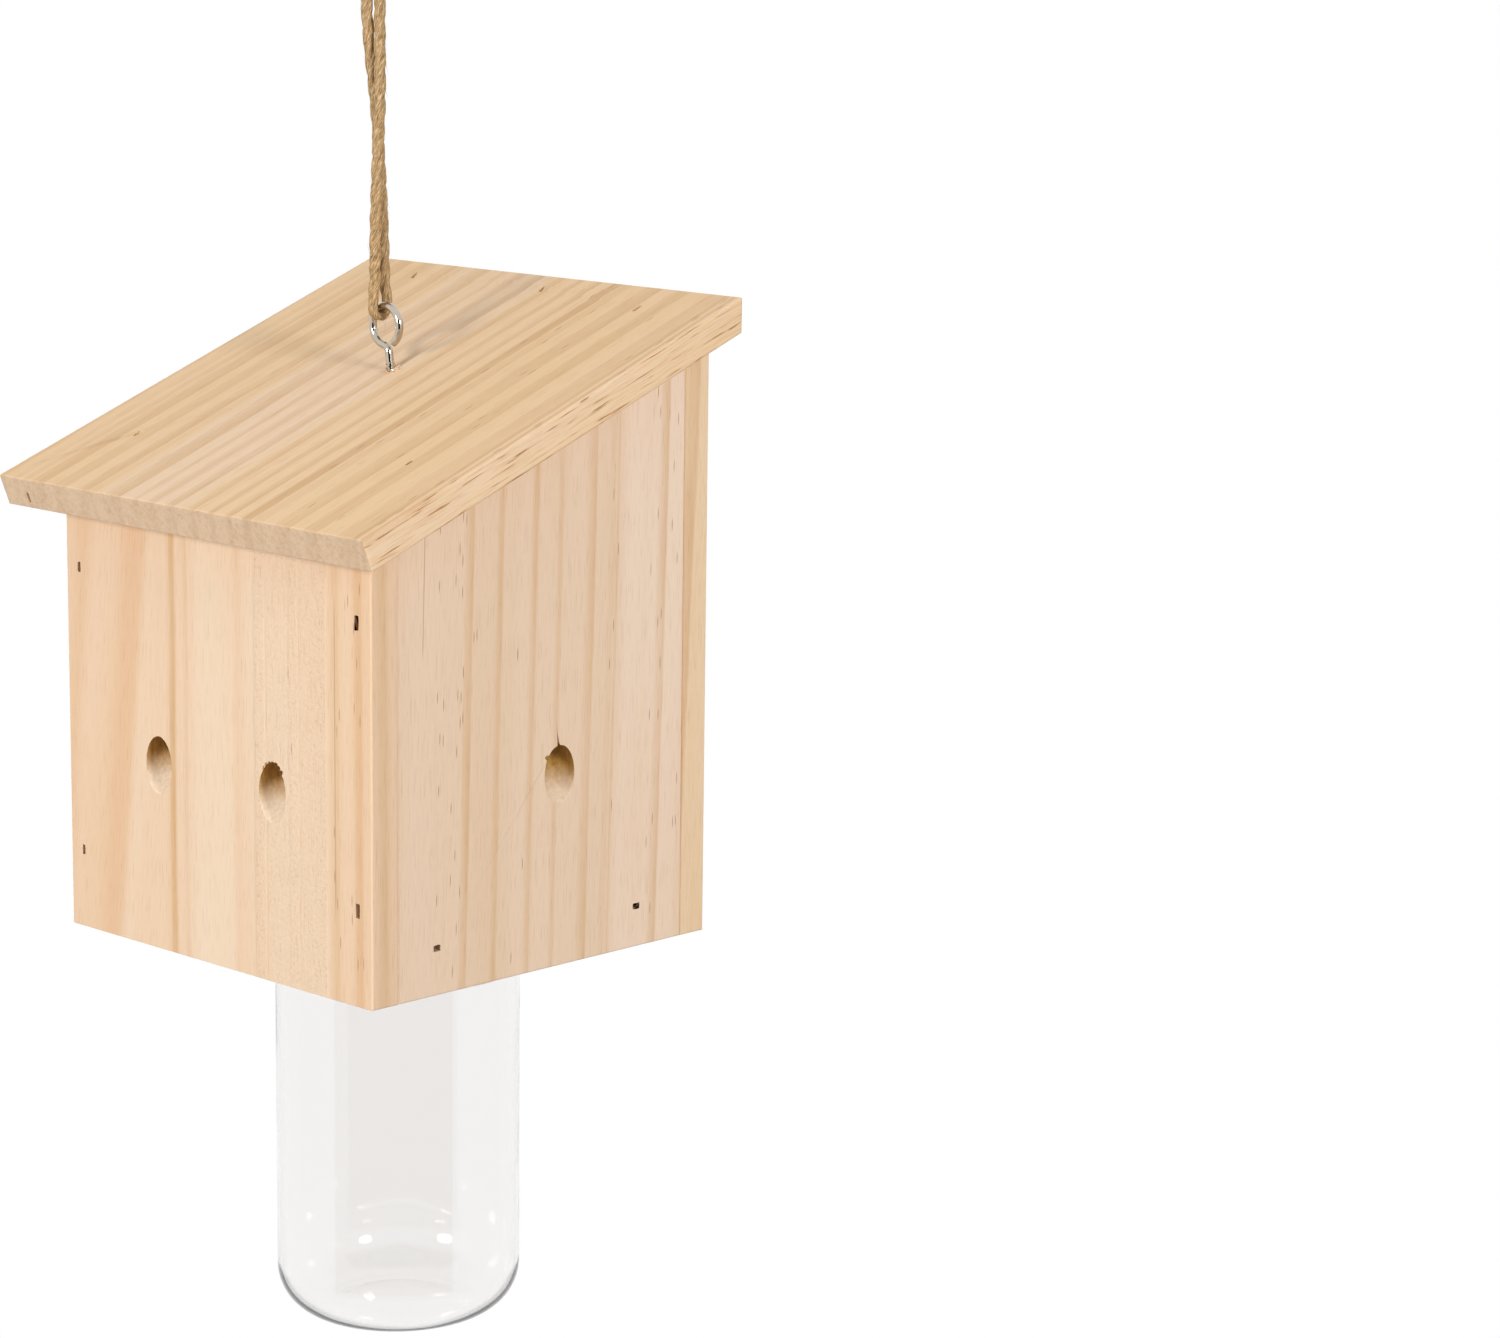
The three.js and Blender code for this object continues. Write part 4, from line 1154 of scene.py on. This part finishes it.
# Jar: straight, with a rounded heel, a pushed-up base and a screw neck; 0 is the rim
JAR_LENGTH = 127.6
JAR_OUTER = 37.75
JAR_WALL = 1.2
JAR_INNER = JAR_OUTER - JAR_WALL
BASE_WALL = 1.8
HEEL_RADIUS = 15
HEEL_WALL_RADIUS = HEEL_RADIUS - JAR_WALL
NECK_OUTER = 34.6
NECK_INNER = 33.0
JAR_THREAD = (-8.8, -2.5)
LIP = 0.4
heel_middle = JAR_OUTER - HEEL_RADIUS
base_rise = ((0, 2), (4, 1.95), (11, 1.5), (17, 0.6), (20, 0.12), (21.5, 0))
wall_rings = (-100, -84, -68, -50, -34)
jar_shell = lathe([
    *((reach, rise - JAR_LENGTH) for reach, rise in base_rise),
    *arc((heel_middle, HEEL_RADIUS - JAR_LENGTH), HEEL_RADIUS, -90, 0, 20),
    *((JAR_OUTER, height) for height in (-112, *wall_rings, -17, -15.4)),
    *arc((JAR_OUTER - 0.6, -15.2), 0.6, 0, 80, 4),
    (35.0, -14.4), (NECK_OUTER, -13.4), (NECK_OUTER, -11.5), (NECK_OUTER, -1),
    *arc((NECK_OUTER - LIP, -LIP), LIP, 0, 90, 4), *arc((NECK_INNER + LIP, -LIP), LIP, 90, 180, 4),
    (NECK_INNER, -11.5), (33.6, -13.6), (36.0, -15.9),
    *((JAR_INNER, height) for height in (-16.8, -17.2, *reversed(wall_rings), -111.4)),
    *arc((heel_middle, HEEL_WALL_RADIUS + BASE_WALL - JAR_LENGTH), HEEL_WALL_RADIUS, 0, -90, 20),
    *((reach, rise + BASE_WALL - JAR_LENGTH) for reach, rise in reversed(base_rise)),
], steps=160)
jar_thread = tubes([helix(NECK_OUTER, THREAD_PITCH, *JAR_THREAD)], THREAD_BEAD, radius=fade_ends)
jar = finish_mesh(
    "screw_jar",
    merged([jar_shell, jar_thread], Matrix.Translation(Vector((jar_axis.x, jar_axis.y, jar_high.z)))),
    pet, "jar")
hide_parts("jar")


# Stage: a pale floor far below, white behind everything, and soft lamps
scene.view_settings.view_transform = "Standard"
WHITE = "ffffff"
FLOOR_GREY = (0.6, 0.6, 0.6, 1)
FLOOR_DROP = 1.1
FLOOR_REACH = 30
AMBIENT = 0.45


def shown_or_lit(tree, lighting, shown, output):
    """Ends a tree with one shader for what the camera sees, straight, in a reflection or
    through the jar, and one for the light thrown on the piece."""
    path = add(tree, "LightPath")
    seen = add(tree, "Math", (path.outputs["Is Camera Ray"], path.outputs["Is Glossy Ray"]),
               operation="MAXIMUM")
    seen = add(tree, "Math", (seen, path.outputs["Is Transmission Ray"]), operation="MAXIMUM")
    add(tree, output, {"Surface": add(tree, "MixShader", (seen, lighting, shown))})


floor_paint, floor_tree, _ = new_material("pale_floor")
shown_or_lit(floor_tree, add(floor_tree, "BsdfDiffuse", {"Color": FLOOR_GREY}),
             add(floor_tree, "Emission", {"Color": WHITE, "Strength": 1.0}), "OutputMaterial")
floor_bm = bmesh.new()
bmesh.ops.create_grid(floor_bm, x_segments=1, y_segments=1, size=FLOOR_REACH)
bmesh.ops.translate(floor_bm, verts=floor_bm.verts, vec=(0, 0, -FLOOR_DROP))
floor = in_scene("floor", mesh_from(floor_bm))
floor.data.materials.append(floor_paint)

world = bpy.data.worlds.new("studio")
scene.world = world
world.use_nodes = True
sky = world.node_tree
sky.nodes.clear()
shown_or_lit(sky, add(sky, "Background", {"Color": WHITE, "Strength": AMBIENT}),
             add(sky, "Background", {"Color": WHITE, "Strength": 1.0}), "OutputWorld")


LAMP_AIM = Vector((0, 0, -0.25))


def lamp(name, azimuth, elevation, distance, size, level):
    """A round soft box. Level is the light it throws on a facing surface, where 1 is the
    light that shows a surface in its own colour."""
    data = bpy.data.lights.new(name, "AREA")
    data.shape = "DISK"
    data.size = size
    data.energy = level * (pi * distance) ** 2
    holder = in_scene(name, data)
    holder.visible_camera = False
    aside = Vector((
        sin(azimuth) * cos(elevation), -cos(azimuth) * cos(elevation),
        sin(elevation),
    ))
    holder.location = LAMP_AIM + aside * distance
    holder.rotation_euler = (-aside).to_track_quat("-Z", "Y").to_euler()


lamp("front_soft_box", deg(0), deg(15), 2.2, 0.6, 0.645)
lamp("side_soft_box", deg(84), deg(20), 2.2, 0.5, 0.54)

# Cards round the camera's side of the stage, which only reflections show: glowing sheets that paint
# reflections of a dim studio. A low brown one for the jar, which its wall also lets through, and a
# high black one for the eye
CARD_STEPS = 24
for name, level, radius, low, high, half_angle in (
    ("low_card", 0.56, 1.35, -1.05, -0.52, 57),
    ("high_card", 0.01, 1.6, -0.5, 0.6, 27),
):
    card_glow, card_tree, _ = new_material(name)
    add(card_tree, "OutputMaterial", {"Surface": add(card_tree, "Emission", {
        "Color": (level, 0.89 * level, 0.88 * level, 1)})})
    bm = bmesh.new()
    edge = [bm.verts.new((0, -radius, low)), bm.verts.new((0, -radius, high))]
    bm.edges.new(edge)
    bmesh.ops.rotate(bm, verts=bm.verts, cent=(0, 0, 0),
                     matrix=Matrix.Rotation(CAMERA_AZIMUTH - deg(half_angle), 3, "Z"))
    bmesh.ops.spin(bm, geom=bm.verts[:] + bm.edges[:], cent=(0, 0, 0), axis=(0, 0, 1),
                   angle=deg(2 * half_angle), steps=CARD_STEPS)
    card = in_scene(name, mesh_from(bm))
    card.data.materials.append(card_glow)
    card.visible_camera = False
    card.visible_transmission = name == "low_card"
    card.visible_diffuse = False
    card.visible_shadow = False
